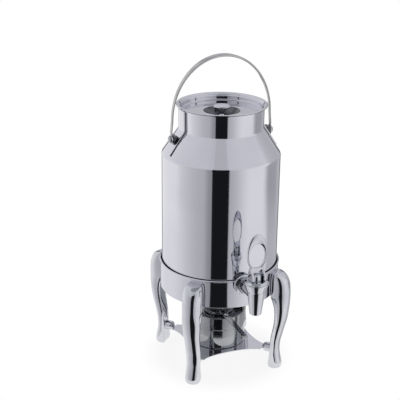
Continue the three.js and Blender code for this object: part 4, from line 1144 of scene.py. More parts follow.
            there = self._band(tree, parts["Z"], start, full)
            shade = add_node(
                tree, "ShaderNodeMix", {"data_type": "RGBA"}, {0: there, 6: shade, 7: linear(colour)}
            ).outputs[2]
        lit = add_node(tree, "ShaderNodeEmission", inputs={"Color": shade, "Strength": 1.0})
        add_node(tree, "ShaderNodeOutputMaterial", inputs={"Surface": lit.outputs[0]})
        item = self._staged("soft_box_shell", self._shell_solid(), made)
        item.visible_camera = False

    def _screen_share(
        self,
        tree: bpy.types.NodeTree,
        screen: Screen,
        degrees: bpy.types.NodeSocket,
        height: bpy.types.NodeSocket,
    ) -> bpy.types.NodeSocket:
        """How far a screen covers the wall.

        Args:
            tree: The shell's node tree.
            screen: The screen.
            degrees: The place round the table.
            height: The sine of the angle above the table's middle.

        Returns:
            The share, from 0 beside the screen to its cover.
        """
        begins, is_whole = screen.starts
        still_whole, is_gone = screen.ends
        sides = [self._band(tree, degrees, begins, is_whole, 0.0, screen.cover)]
        sides.append(self._band(tree, degrees, is_gone, still_whole))
        if screen.foot:
            sides.append(self._band(tree, height, *screen.foot))
        if screen.head:
            sides.append(self._band(tree, height, screen.head[1], screen.head[0]))
        there = sides[0]
        for side in sides[1:]:
            there = add_node(tree, "ShaderNodeMath", {"operation": "MULTIPLY"}, {0: there, 1: side}).outputs[0]
        return there

    def _camera_turn(self) -> float:
        """The camera's angle about the urn's axis, from straight in front."""
        towards = Vector(self.place) - Vector(self.aim)
        return math.atan2(towards.x, -towards.y)

    def _shell_solid(self) -> Solid:
        """The shell's faces: a sphere without the backdrop's window behind the object."""
        made = Solid()
        columns, rows = self.shell_columns, self.shell_rows
        grid = []
        for i in range(1, rows):
            rise = math.pi * (i / rows - 0.5)
            ring = []
            for k in range(columns):
                turn = FULL_TURN * k / columns + self._camera_turn() - QUARTER_TURN
                flat = self.shell_radius * math.cos(rise)
                height = self.shell_centre + self.shell_radius * math.sin(rise)
                ring.append(made.mesh.verts.new((flat * math.cos(turn), flat * math.sin(turn), height)))
            grid.append(ring)
        for i, (low, high) in enumerate(zip(grid, grid[1:])):
            top = math.sin(math.pi * ((i + 2) / rows - 0.5))
            for k in range(columns):
                behind = abs(math.remainder(FULL_TURN * (k + 0.5) / columns - math.pi, FULL_TURN))
                if behind < self.backdrop_half and top < self.backdrop_top:
                    continue
                n = (k + 1) % columns
                made.mesh.faces.new((low[k], high[k], high[n], low[n]))
        made.mesh.faces.new(grid[-1])
        made.mesh.faces.new(grid[0][::-1])
        return made

    @staticmethod
    def _band(
        tree: bpy.types.NodeTree,
        value: bpy.types.NodeSocket,
        start: float,
        end: float,
        low: float = 0.0,
        high: float = 1.0,
    ) -> bpy.types.NodeSocket:
        """A soft step.

        Args:
            tree: The node tree.
            value: What is measured.
            start: Where the step starts.
            end: Where it ends.
            low: The value before it.
            high: The value past it.

        Returns:
            The step's value.
        """
        rising = start < end
        return add_node(
            tree,
            "ShaderNodeMapRange",
            {"interpolation_type": "SMOOTHSTEP"},
            {
                "Value": value,
                "From Min": min(start, end),
                "From Max": max(start, end),
                "To Min": low if rising else high,
                "To Max": high if rising else low,
            },
        ).outputs["Result"]

    def _beyond(self) -> None:
        """Makes everything beyond the table and the shell plain white, for the eye and for the steel."""
        scene = bpy.context.scene
        world = bpy.data.worlds.new("studio")
        scene.world = world
        world.use_nodes = True
        tree = world.node_tree
        tree.nodes.clear()
        white = add_node(tree, "ShaderNodeBackground", inputs={"Color": linear("FFFFFF"), "Strength": 1.0})
        add_node(tree, "ShaderNodeOutputWorld", inputs={"Surface": white.outputs[0]})
        scene.view_settings.view_transform = "Standard"
        log.info("studio: camera, table, shell of light and white backdrop")


# Urn


@dataclass
class UrnVessel:
    """The urn's wall, its pressed bottom, and the straps, blocks and caps that carry the bail."""

    shop: Workshop
    radius: float = 100.0
    wall: float = 1.2
    foot: float = 143.5
    shoulder: float = 383.0
    shoulder_fillet: float = 9.0
    neck_radius: float = 70.7
    neck: float = 427.0
    neck_fillet: float = 6.0
    mouth: float = 463.6
    mouth_lip: float = 2.8
    bottom: float = 153.5
    bottom_rim: float = 9.0
    shank_height: float = 185.0
    tap_hole: float = 8.3
    strap_width: float = 28.0
    strap_thickness: float = 1.5
    strap_top: float = 461.0
    strap_end: float = 96.3
    block_back: float = 80.4
    block_face: float = 87.0
    block_width: float = 17.0
    block_rise: float = 6.4
    pivot: float = 413.5
    stud_radius: float = 2.8
    stud_end: float = 92.4
    cap_radius: float = 6.0
    cap_seat: float = 90.2
    cap_height: float = 3.6

    @property
    def slope(self) -> float:
        """How much the shoulder draws in for each millimetre of rise."""
        return (self.radius - self.neck_radius) / (self.neck - self.shoulder)

    def build(self) -> None:
        """Builds and dresses each piece."""
        self._wall()
        self._bottom()
        for side, turn in (("right", 0.0), ("left", math.pi)):
            node = "strap_" + side
            strap = dressed(node + "_polished", self._strap(turn), POLISHED_SHEET, Body.URN, [node])
            # Painted shade: the strap's downward faces take the dark painted-shade steel.
            paint_shade_on(strap, lambda out, height, normal: normal.z < -0.6)
            node = "pivot_block_" + side
            # Painted shade: the whole pivot block is coloured dark, in the painted-shade steel.
            dressed(node + "_cut", self._block(turn), PAINTED_SHADE_STEEL, Body.URN, [node])
            node = "pivot_cap_" + side
            dressed(node + "_turned", self._cap(turn), TURNED_FASTENER, Body.URN, [node])

    def _wall(self) -> None:
        """The wall from the foot to the turned-out mouth, with the hole for the tap's shank."""
        line = rounded([
            (self.radius, self.foot),
            (self.radius, self.shoulder, self.shoulder_fillet),
            (self.neck_radius, self.neck, self.neck_fillet),
            (self.neck_radius, self.mouth - self.wall, 1.4),
            (self.neck_radius + self.mouth_lip, self.mouth - self.wall),
        ])
        solid = self.shop.spun_solid(sheet(line, self.wall), POLISHED_SHEET)
        hole = forward(Solid.bar(self.tap_hole, self.neck_radius, self.radius + 5), self.shank_height)
        dressed("urn_wall_polished", solid.combined(hole, Combine.CUT), POLISHED_SHEET, Body.URN, ["urn_wall"])

    def _bottom(self) -> None:
        """The bottom, pressed with a turned-down rim."""
        radius = self.radius - self.wall - SEAT_GAP
        line = rounded([
            (0, self.bottom),
            (radius, self.bottom, 2 * self.wall),
            (radius, self.bottom - self.bottom_rim),
        ])
        mesh = self.shop.spun(sheet(line, -self.wall), POLISHED_SHEET)
        dressed("urn_bottom_polished", mesh, POLISHED_SHEET, Body.URN, ["urn_bottom"])

    def _strap(self, turn: float) -> Solid:
        """A sheet band that lies on the neck and the shoulder.

        Args:
            turn: The angle of its side about the urn's axis.

        Returns:
            The band.
        """
        stretch = math.hypot(1, self.slope)
        end = self.shoulder + (self.radius - self.strap_end + SEAT_GAP * stretch) / self.slope
        line = rounded([
            (self.neck_radius + SEAT_GAP, self.strap_top),
            (self.neck_radius + SEAT_GAP, self.neck + SEAT_GAP * self.slope, self.neck_fillet - SEAT_GAP),
            (self.strap_end, end),
        ])
        section = sheet(line, self.strap_thickness)
        half, steps = self.strap_width / 2, 12
        rings = []
        for k in range(steps + 1):
            across = -half + 2 * half * k / steps
            rings.append([Vector((math.sqrt(r * r - across * across), across, z)) for r, z in section])
        return Solid.lofted(rings).bevelled(0.35, above=math.radians(50)).turned_by(turn)

    def _block(self, turn: float) -> Solid:
        """A wedge on the strap with the stud that the bail turns on.

        Args:
            turn: The angle of its side about the urn's axis.

        Returns:
            The wedge and its stud.
        """
        stretch = math.hypot(1, self.slope)
        rise = (2 * SEAT_GAP + self.strap_thickness) * stretch

        def seat(radius: float) -> float:
            """Height of the wedge's foot over the strap."""
            return self.shoulder + (self.radius - radius + rise) / self.slope

        top = self.pivot + self.block_rise
        outline = [
            (self.block_back, seat(self.block_back)),
            (self.block_face, seat(self.block_face)),
            (self.block_face, top),
            (self.block_back + 1.5, top),
            (self.block_back, top - 0.75),
        ]
        wedge = Solid.raised(outline, -self.block_width / 2, self.block_width / 2).bevelled(0.5, 3)
        stud = Solid.bar(self.stud_radius, self.block_face - 1.5, self.stud_end, 0.3)
        stud.turned_by(QUARTER_TURN, "Y").shifted(z=self.pivot)
        return wedge.turned_by(QUARTER_TURN, "X").with_shell(stud).turned_by(turn)

    def _cap(self, turn: float) -> Solid:
        """A domed cap on the stud, bored from behind.

        Args:
            turn: The angle of its side about the urn's axis.

        Returns:
            The cap.
        """
        bore = self.stud_radius + SEAT_GAP
        depth = self.stud_end - self.cap_seat + SEAT_GAP
        dome = arc((0, 0), (self.cap_radius, self.cap_height), 0.05, QUARTER_TURN, 12)
        profile = [
            (0, depth), (bore, depth), (bore, 0), (self.cap_radius - 0.3, 0), *dome[:-1], (0, self.cap_height),
        ]
        cap = Solid.turned(profile, FINE_SIDES).shifted(z=self.cap_seat)
        return cap.turned_by(QUARTER_TURN, "Y").shifted(z=self.pivot).turned_by(turn)


@dataclass
class BailHandle:
    """A flattened bar: two arms that end in eyes, and an arch that is broadest at the grip."""

    span: float = 88.6
    arch_span: float = 86.8
    upright: float = 12.0
    thickness: float = 2.6
    grip_thickness: float = 4.4
    arm_width: float = 8.0
    grip_width: float = 14.0
    eye_radius: float = 7.2
    bore: float = 3.1
    pivot: float = 413.5
    spring: float = 445.0
    top: float = 548.5
    steps: int = 120

    def build(self) -> None:
        """Builds and dresses the bail."""
        bar = Solid.lofted(self._rings())
        for side in (1, -1):
            bar.combined(self._eye(side), Combine.UNION)
        hole = Solid.bar(self.bore, -self.span - 10, self.span + 10).turned_by(QUARTER_TURN, "Y")
        bar.combined(hole.shifted(z=self.pivot), Combine.CUT)
        dressed("bail_brushed", bar, BRUSHED_BAR, Body.BAIL, ["bail"])

    def _eye(self, side: int) -> Solid:
        """The round eye at the foot of an arm.

        Args:
            side: 1 on the right, -1 on the left.

        Returns:
            The eye.
        """
        half = self.thickness / 2
        eye = Solid.bar(self.eye_radius, -half, half, 0.5).turned_by(QUARTER_TURN, "Y")
        return eye.shifted(x=side * self.span, z=self.pivot)

    def _rings(self) -> Rings:
        """The bar's sections from the right arm's foot over the arch to the left arm's."""
        rise = self.top - self.grip_thickness / 2 - self.spring
        path = [(self.span, self.pivot, 0.0), (self.span, self.pivot + self.upright, 0.0)]
        for i in range(self.steps + 1):
            angle = math.pi * i / self.steps
            path.append((self.arch_span * math.cos(angle), self.spring + rise * math.sin(angle), angle))
        path += [(-self.span, self.pivot + self.upright, math.pi), (-self.span, self.pivot, math.pi)]
        return [self._section(x, z, angle, rise) for x, z, angle in path]

    def _section(self, x: float, z: float, angle: float, rise: float) -> list[Vector]:
        """One section of the bar: flat faces with rounded edges.

        Args:
            x: The place of its middle across the urn.
            z: The height of its middle.
            angle: The place on the arch.
            rise: The height of the arch.

        Returns:
            The points of the section.
        """
        swell = math.sin(angle) ** 2
        half_width = (self.arm_width + swell * (self.grip_width - self.arm_width)) / 2
        half_depth = (self.thickness + swell * (self.grip_thickness - self.thickness)) / 2
        out = Vector((rise * math.cos(angle), self.arch_span * math.sin(angle))).normalized()
        ring = []
        for i in range(32):
            turn = FULL_TURN * i / 32
            across = math.copysign(abs(math.cos(turn)) ** 0.55, math.cos(turn)) * half_width
            deep = math.copysign(abs(math.sin(turn)) ** 0.75, math.sin(turn)) * half_depth
            ring.append(Vector((x + out.x * deep, across, z + out.y * deep)))
        return ring


@dataclass
class PlugLid:
    """A plug lid with a rolled brim, a flat floor and a dish, and the mushroom knob in the dish."""

    shop: Workshop
    radius: float = 76.2
    top: float = 466.4
    wall: float = 1.2
    seat: float = 463.9
    plug_radius: float = 69.05
    floor: float = 454.5
    corner: float = 2.2
    brim_width: float = 5.0
    brim_dip: float = 0.5
    throat: float = 5.0
    dish_radius: float = 31.0
    dish_flat: float = 20.6
    dish_bottom: float = 444.1
    dish_corner: float = 4.0
    dish_edge: float = 1.2
    screw_radius: float = 2.0
    knob_radius: float = 14.8
    knob_top: float = 464.6
    knob_disc: float = 6.4
    knob_foot: float = 7.0
    knob_waist: float = 4.2
    knob_bore: float = 10.0

    def build(self) -> None:
        """Builds and dresses the lid and its knob."""
        mesh = self.shop.spun(self._lid_profile(), POLISHED_SHEET)
        lid = dressed("lid_polished", mesh, POLISHED_SHEET, Body.LID, ["lid"])
        brim = (self.radius + self.plug_radius) / 2
        # Painted shade: the dish's inside and the brim's underside take the dark painted-shade steel.
        dish_top = self.floor - self.dish_edge
        paint_shade_on(
            lid,
            lambda out, height, normal: (out < self.dish_radius and height < dish_top and normal.z > 0)
            or (out > brim and normal.z < 0.1),
        )
        knob = self.shop.spun(self._knob_profile(), POLISHED_SHEET, FINE_SIDES * 2)
        dressed("lid_knob_polished", knob, POLISHED_SHEET, Body.LID, ["lid_knob"])
        redress("lid_knob_screw", TURNED_FASTENER)

    def _lid_profile(self) -> Line:
        """The lid's section: pan-shaped dish, floor, plug wall, and the brim's rolled bead."""
        bead = (self.top - self.seat) / 2
        hole = self.screw_radius + SEAT_GAP
        under = rounded([
            (hole, self.dish_bottom - self.wall),
            (self.dish_flat, self.dish_bottom - self.wall, self.dish_corner + self.wall),
            (self.dish_radius, self.floor - self.wall, self.dish_edge),
            (self.plug_radius, self.floor - self.wall, self.corner + self.wall),
            (self.plug_radius, self.seat, 0.6),
            (self.radius - bead, self.seat),
        ])
        over = rounded([
            (self.radius - bead, self.top),
            (self.radius - self.brim_width, self.top - self.brim_dip, 1.5),
            (self.plug_radius - self.wall, self.top - self.throat, 2.0),
            (self.plug_radius - self.wall, self.floor, self.corner),
            (self.dish_radius, self.floor, self.dish_edge),
            (self.dish_flat, self.dish_bottom, self.dish_corner),
            (hole, self.dish_bottom),
        ])
        roll = arc((self.radius - bead, self.top - bead), (bead, bead), -QUARTER_TURN, QUARTER_TURN, 14)
        return [*under, *roll[1:-1], *over]

    def _knob_profile(self) -> Line:
        """The knob's section: a mushroom on a stem that flares at both ends."""
        low = self.dish_bottom + SEAT_GAP
        disc = self.knob_top - self.knob_disc
        stem, spread = disc - low, self.knob_foot - self.knob_waist
        rows = [(0, 1), (0.05, 0.8), (0.12, 0.55), (0.35, 0.1), (0.6, 0), (0.85, 0.25), (0.95, 0.6), (1, 1)]
        flare = smooth_rows([(self.knob_waist + out * spread, low + up * stem) for up, out in rows], (1, 1), 4)
        half = self.knob_disc / 2
        crown = arc((0, disc + half), (self.knob_radius, half), -QUARTER_TURN * 0.55, QUARTER_TURN, 24)
        bore = self.screw_radius + SEAT_GAP
        return [
            (0, low + self.knob_bore), (bore, low + self.knob_bore), (bore, low),
            *[(r, z) for r, z in flare], *crown[:-1], (0, self.knob_top),
        ]


# Stand


@dataclass
class StandCollar:
    """The collar that the urn stands in, with a rolled lip, a ledge and the slot for the tap."""

    shop: Workshop
    radius: float = 103.0
    wall: float = 1.2
    foot: float = 142.0
    top: float = 192.0
    lip: float = 1.2
    lip_height: float = 3.2
    corner: float = 1.6
    ledge: float = 92.0
    notch: float = 12.6
    shank_height: float = 185.0

    def build(self) -> None:
        """Builds and dresses the collar."""
        bore = self.radius - self.wall
        lip_foot = self.top - self.lip_height
        profile = rounded([
            (self.ledge, self.foot),
            (self.radius, self.foot, self.corner),
            (self.radius, lip_foot, 0.6),
            (self.radius + self.lip, lip_foot + self.lip, 0.6),
            (self.radius + self.lip, self.top - self.lip, 0.7),
            (self.radius, self.top, 0.7),
            (bore, self.top - self.lip / 2, 0.2),
            (bore, self.foot + self.wall, 0.8),
            (self.ledge, self.foot + self.wall),
        ], 6)
        solid = self.shop.spun_solid(profile, POLISHED_SHEET, TURNED_SIDES)
        slot_top = self.top + 3 - self.shank_height
        outline = [
            *arc((0, 0), (self.notch, self.notch), math.pi, FULL_TURN, 24),
            (self.notch, slot_top),
            (-self.notch, slot_top),
        ]
        cutter = forward(Solid.raised(outline, self.ledge - 5, self.radius + 10), self.shank_height)
        collar = solid.combined(cutter, Combine.CUT)
        dressed("stand_collar_polished", collar, POLISHED_SHEET, Body.STAND, ["stand_collar"])


@dataclass
class CabrioleLegs:
    """Four cast cabriole legs, hollow behind, each with a domed boss that takes the plate's tongue."""

    height: float = 183.5
    back: float = 103.3
    bulge: float = 29.0
    width: float = 34.0
    wall: float = 5.5
    edge: float = 3.0
    corner: float = 2.6
    back_share: float = 0.4
    boss_height: float = 34.5
    boss_radius: float = 8.4
    boss_tip: float = 86.2
    boss_dome: float = 7.0
    # Height, back and front as shares of the bulge off the collar, half width as a share, and how hollow.
    rows: list[tuple[float, ...]] = field(default_factory=lambda: [
        (0, 0.04, 0.54, 0.56, 0), (0.008, -0.03, 0.62, 0.72, 0), (0.041, -0.07, 0.65, 0.8, 0),
        (0.093, -0.05, 0.585, 0.76, 0), (0.18, -0.02, 0.48, 0.7, 0), (0.283, 0.01, 0.51, 0.73, 0.25),
        (0.338, 0.05, 0.585, 0.75, 0.6), (0.403, 0.12, 0.68, 0.775, 0.9), (0.469, 0.195, 0.785, 0.8, 1),
        (0.534, 0.24, 0.875, 0.85, 1), (0.599, 0.25, 0.93, 0.905, 1), (0.654, 0.215, 0.965, 0.94, 1),
        (0.708, 0.12, 0.99, 0.965, 1), (0.763, 0, 1, 0.985, 1), (0.828, 0, 0.99, 1, 1),
        (0.883, 0, 0.955, 0.985, 1), (0.916, 0, 0.9, 0.97, 0.95), (0.943, 0, 0.82, 0.94, 0.85),
        (0.967, 0, 0.7, 0.9, 0.65), (0.986, 0, 0.52, 0.83, 0.3), (0.997, 0, 0.33, 0.74, 0), (1, 0, 0.2, 0.66, 0),
    ])

    def build(self) -> None:
        """Builds and dresses each leg at its corner."""
        corners = {"front_left": -3, "front_right": -1, "back_right": 1, "back_left": 3}
        for name, eighths in corners.items():
            leg = self._limb().with_shell(self._boss()).turned_by(eighths * FULL_TURN / 8)
            dressed("leg_" + name + "_mopped", leg, POLISHED_CASTING, Body.STAND, ["leg_" + name])

    def _limb(self) -> Solid:
        """The limb, lofted through smooth sections, with +X outwards."""
        scale = (self.height, self.bulge, self.bulge, self.width / 2, 0)
        rows = smooth_rows(self.rows, scale, 3)
        return Solid.lofted([self._section(row) for row in rows])

    def _section(self, row: Sequence[float]) -> list[Vector]:
        """One section: a round front, and a back that follows the collar and opens into a hollow.

        Args:
            row: Its height, back, front, half width and hollow as shares.

        Returns:
            The points of the section.
        """
        up, back, front, wide, hollow = row
        inner, outer = self.back + back * self.bulge, self.back + front * self.bulge
        half = wide * self.width / 2
        middle = inner + self.back_share * (outer - inner)
        edge = half - self.corner
        mouth = edge - self.edge
        depth = max(hollow, 0) * max(outer - inner - self.wall, 0)
        corner = arc((middle, edge), (middle - inner, half - edge), QUARTER_TURN, math.pi, 6)
        front_line = arc((middle, 0), (outer - middle, half), -QUARTER_TURN, QUARTER_TURN, 32)
        hollow_line = arc((inner, 0), (depth, mouth), QUARTER_TURN, -QUARTER_TURN, 12)
        mirrored = [(x, -y) for x, y in corner][::-1]
        outline = [*front_line[:-1], *corner, *hollow_line, *mirrored[:-1]]
        return [Vector((x - (self._bow(y) if x < middle else 0), y, up * self.height)) for x, y in outline]

    def _bow(self, across: float) -> float:
        """How far the collar's curve falls back at a distance from the leg's middle."""
        return self.back - math.sqrt(self.back**2 - across**2)

    def _boss(self) -> Solid:
        """The domed bar towards the urn's axis."""
        root = self.back - self.boss_tip
        dome = arc((0, root - self.boss_dome), (self.boss_radius, self.boss_dome), 0, QUARTER_TURN, 14)
        profile = [(0, -self.boss_dome), (self.boss_radius, -self.boss_dome), *dome[:-1], (0, root)]
        boss = Solid.turned(profile, FINE_SIDES).turned_by(-QUARTER_TURN, "Y")
        return boss.shifted(x=self.back, z=self.boss_height)


@dataclass
class StandPlate:
    """The flat plate between the legs, and the screws that pin its tongues from below."""

    shop: Workshop
    top: float = 33.0
    thickness: float = 1.5
    arm_end: float = 85.9
    arm_half_width: float = 10.5
    tongue_half_width: float = 5.0
    tongue_end: float = 96.0
    waist_pull: float = 20.0
    screw_place: float = 91.4
    screw_radius: float = 1.5
    screw_top: float = 39.0
    head_radius: float = 2.9
    head_height: float = 2.0
    cross_length: float = 1.7
    cross_half_width: float = 0.35
    head_seat: float = 28.8

    def build(self) -> None:
        """Builds and dresses the plate and its screws."""
        plate = Solid.raised(self._outline(), self.top - self.thickness, self.top)
        plate.turned_by(QUARTER_TURN / 2).bevelled(0.3, 2, math.radians(60))
        dressed("stand_plate_polished", plate, POLISHED_SHEET, Body.STAND, ["stand_plate"])
        screws = self.shop.ringed(self._screw(), TURNED_FASTENER, 4, self.screw_place, QUARTER_TURN / 2)
        names = ["plate_screw_" + corner for corner in ("front_left", "front_right", "back_right", "back_left")]
        dressed("plate_screws", screws, TURNED_FASTENER, Body.STAND, names)

    def _outline(self) -> Line:
        """Four arms that end in tongues, with the hollow sides between them."""
        outline: Line = []
        for quarter in range(4):
            turn = Matrix.Rotation(quarter * QUARTER_TURN, 2)
            arm, across = turn @ Vector((1, 0)), turn @ Vector((0, 1))
            for along, side in (
                (self.arm_end, -1), (self.tongue_end, -1), (self.tongue_end, 1), (self.arm_end, 1),
            ):
                point = arm * along + across * side * self.tongue_half_width
                outline.append((point.x, point.y))
            start = arm * self.arm_end + across * self.arm_half_width
            end = arm * self.arm_half_width + across * self.arm_end
            pulls = (start, start - arm * self.waist_pull, end - across * self.waist_pull, end)
            for k in range(41):
                t = k / 40
                weights = ((1 - t) ** 3, 3 * t * (1 - t) ** 2, 3 * t * t * (1 - t), t**3)
                point = sum((p * w for p, w in zip(pulls, weights)), Vector((0, 0)))
                outline.append((point.x, point.y))
        return outline

    def _screw(self) -> Solid:
        """A pan-head screw with its head down and a cross recess in it."""
        low = self.head_seat - self.head_height
        profile = rounded([
            (0, low), (self.head_radius, low, 0.9), (self.head_radius, self.head_seat),
            (self.screw_radius, self.head_seat), (self.screw_radius, self.screw_top), (0, self.screw_top),
        ], 5)
        screw = Solid.turned(profile, 32)
        for turn in (0.0, QUARTER_TURN):
            long, half = self.cross_length, self.cross_half_width
            arm = [(-long, -half), (long, -half), (long, half), (-long, half)]
            screw.combined(Solid.raised(arm, low - 1, low + 1.1).turned_by(turn), Combine.CUT)
        return screw


# Burner


@dataclass
class SpiritBurner:
    """The drawn can, its cover with a beaded skirt and a sunk deck, and the damper on its rivet."""

    shop: Workshop
    radius: float = 47.6
    foot: float = 33.3
    top: float = 92.6
    wall: float = 1.0
    skirt: float = 69.0
    bead: float = 0.6
    deck: float = 89.2
    corner: float = 2.0
    mouth_radius: float = 22.0
    damper_radius: float = 25.5
    damper_low: float = 92.9
    damper_high: float = 93.9
    pivot: float = 37.0
    handle_width: float = 10.0
    handle_end: float = 115.5
    curl: float = 3.0
    lip: float = 7.0
    rivet_radius: float = 1.8
    rivet_head: float = 4.0
    rivet_height: float = 1.8

    def build(self) -> None:
        """Builds and dresses each piece."""
        can = self.shop.spun(self._can_profile(), DRAWN_BURNER)
        dressed("burner_can_drawn", can, DRAWN_BURNER, Body.BURNER, ["burner_can"])
        cover = self.shop.spun_solid(self._cover_profile(), DRAWN_BURNER)
        hole = Solid.bar(self.rivet_radius + SEAT_GAP, self.deck - 5, self.deck + 5).shifted(y=-self.pivot)
        cover.combined(hole, Combine.CUT)
        dressed("burner_cover_drawn", cover, DRAWN_BURNER, Body.BURNER, ["burner_cover"])
        dressed("damper_rivet_turned", self._rivet(), TURNED_FASTENER, Body.BURNER, ["damper_rivet"])
        dressed("burner_damper_drawn", self._damper(), DRAWN_BURNER, Body.DAMPER, ["burner_damper"])

    def _can_profile(self) -> Line:
        """The can's section: a cup whose upper part steps in to take the cover."""
        neck = self.radius - self.wall - SEAT_GAP
        step = self.skirt - SEAT_GAP
        top = self.deck - 2.0
        return rounded([
            (0, self.foot),
            (self.radius, self.foot, self.corner),
            (self.radius, step, 0.4),
            (neck, step),
            (neck, top, 0.3),
            (neck - self.wall, top, 0.3),
            (neck - self.wall, self.foot + self.wall, 1.2),
            (0, self.foot + self.wall),
        ])

    def _cover_profile(self) -> Line:
        """The cover's section: beaded skirt, rolled rim, sunk deck and raised mouth."""
        bore = self.radius - self.wall
        deck = self.deck - self.wall
        return rounded([
            (self.mouth_radius, deck),
            (bore - self.wall, deck, 0.5),
            (bore, deck - self.wall, 0.5),
            (bore, self.skirt),
            (self.radius + self.bead, self.skirt, 0.25),
            (self.radius + self.bead, self.skirt + self.wall, 0.5),
            (self.radius, self.skirt + 2 * self.wall, 0.5),
            (self.radius, self.top, 1.0),
            (bore - self.wall, self.top, 1.0),
            (bore - self.corner, self.deck, 1.0),
            (self.mouth_radius + 2 * self.wall, self.deck, 0.8),
            (self.mouth_radius + self.wall, self.top),
            (self.mouth_radius, self.top),
        ], 6)

    def _damper(self) -> Solid:
        """The disc over the mouth and its strip handle, whose tip is curled down to a lip."""
        half = self.handle_width / 2
        disc = Solid.bar(self.damper_radius, self.damper_low, self.damper_high, 0.3, TURNED_SIDES)
        centre = self.damper_high - self.curl
        line = [
            (self.damper_radius - 6, self.damper_high),
            (self.handle_end, self.damper_high),
            *arc((self.handle_end, centre), (self.curl, self.curl), QUARTER_TURN, -QUARTER_TURN, 14)[1:],
            (self.handle_end - self.lip, centre - self.curl),
        ]
        thickness = self.damper_high - self.damper_low
        strip = Solid.raised(sheet(line, -thickness), -half, half).bevelled(0.25, 2, math.radians(50))
        strip.turned_by(QUARTER_TURN, "X").turned_by(-QUARTER_TURN)
        hole = Solid.bar(self.rivet_radius + SEAT_GAP, self.damper_low - 5, self.damper_high + 5)
        return disc.combined(strip, Combine.UNION).combined(hole.shifted(y=-self.pivot), Combine.CUT)

    def _rivet(self) -> Solid:
        """The shouldered rivet that the damper swings on."""
        head, shoulder = self.damper_high + SEAT_GAP, self.deck + SEAT_GAP
        foot = self.deck - 2 * self.wall
        profile = rounded([
            (0, foot), (self.rivet_radius, foot), (self.rivet_radius, shoulder), (self.rivet_head, shoulder),
            (self.rivet_head, self.top), (self.rivet_radius, self.top), (self.rivet_radius, head),
            (self.rivet_head, head), (self.rivet_head - 0.2, head + self.rivet_height, 1.1),
            (0, head + self.rivet_height),
        ], 8)
        return Solid.turned(profile, FINE_SIDES).shifted(y=-self.pivot)


# Tap


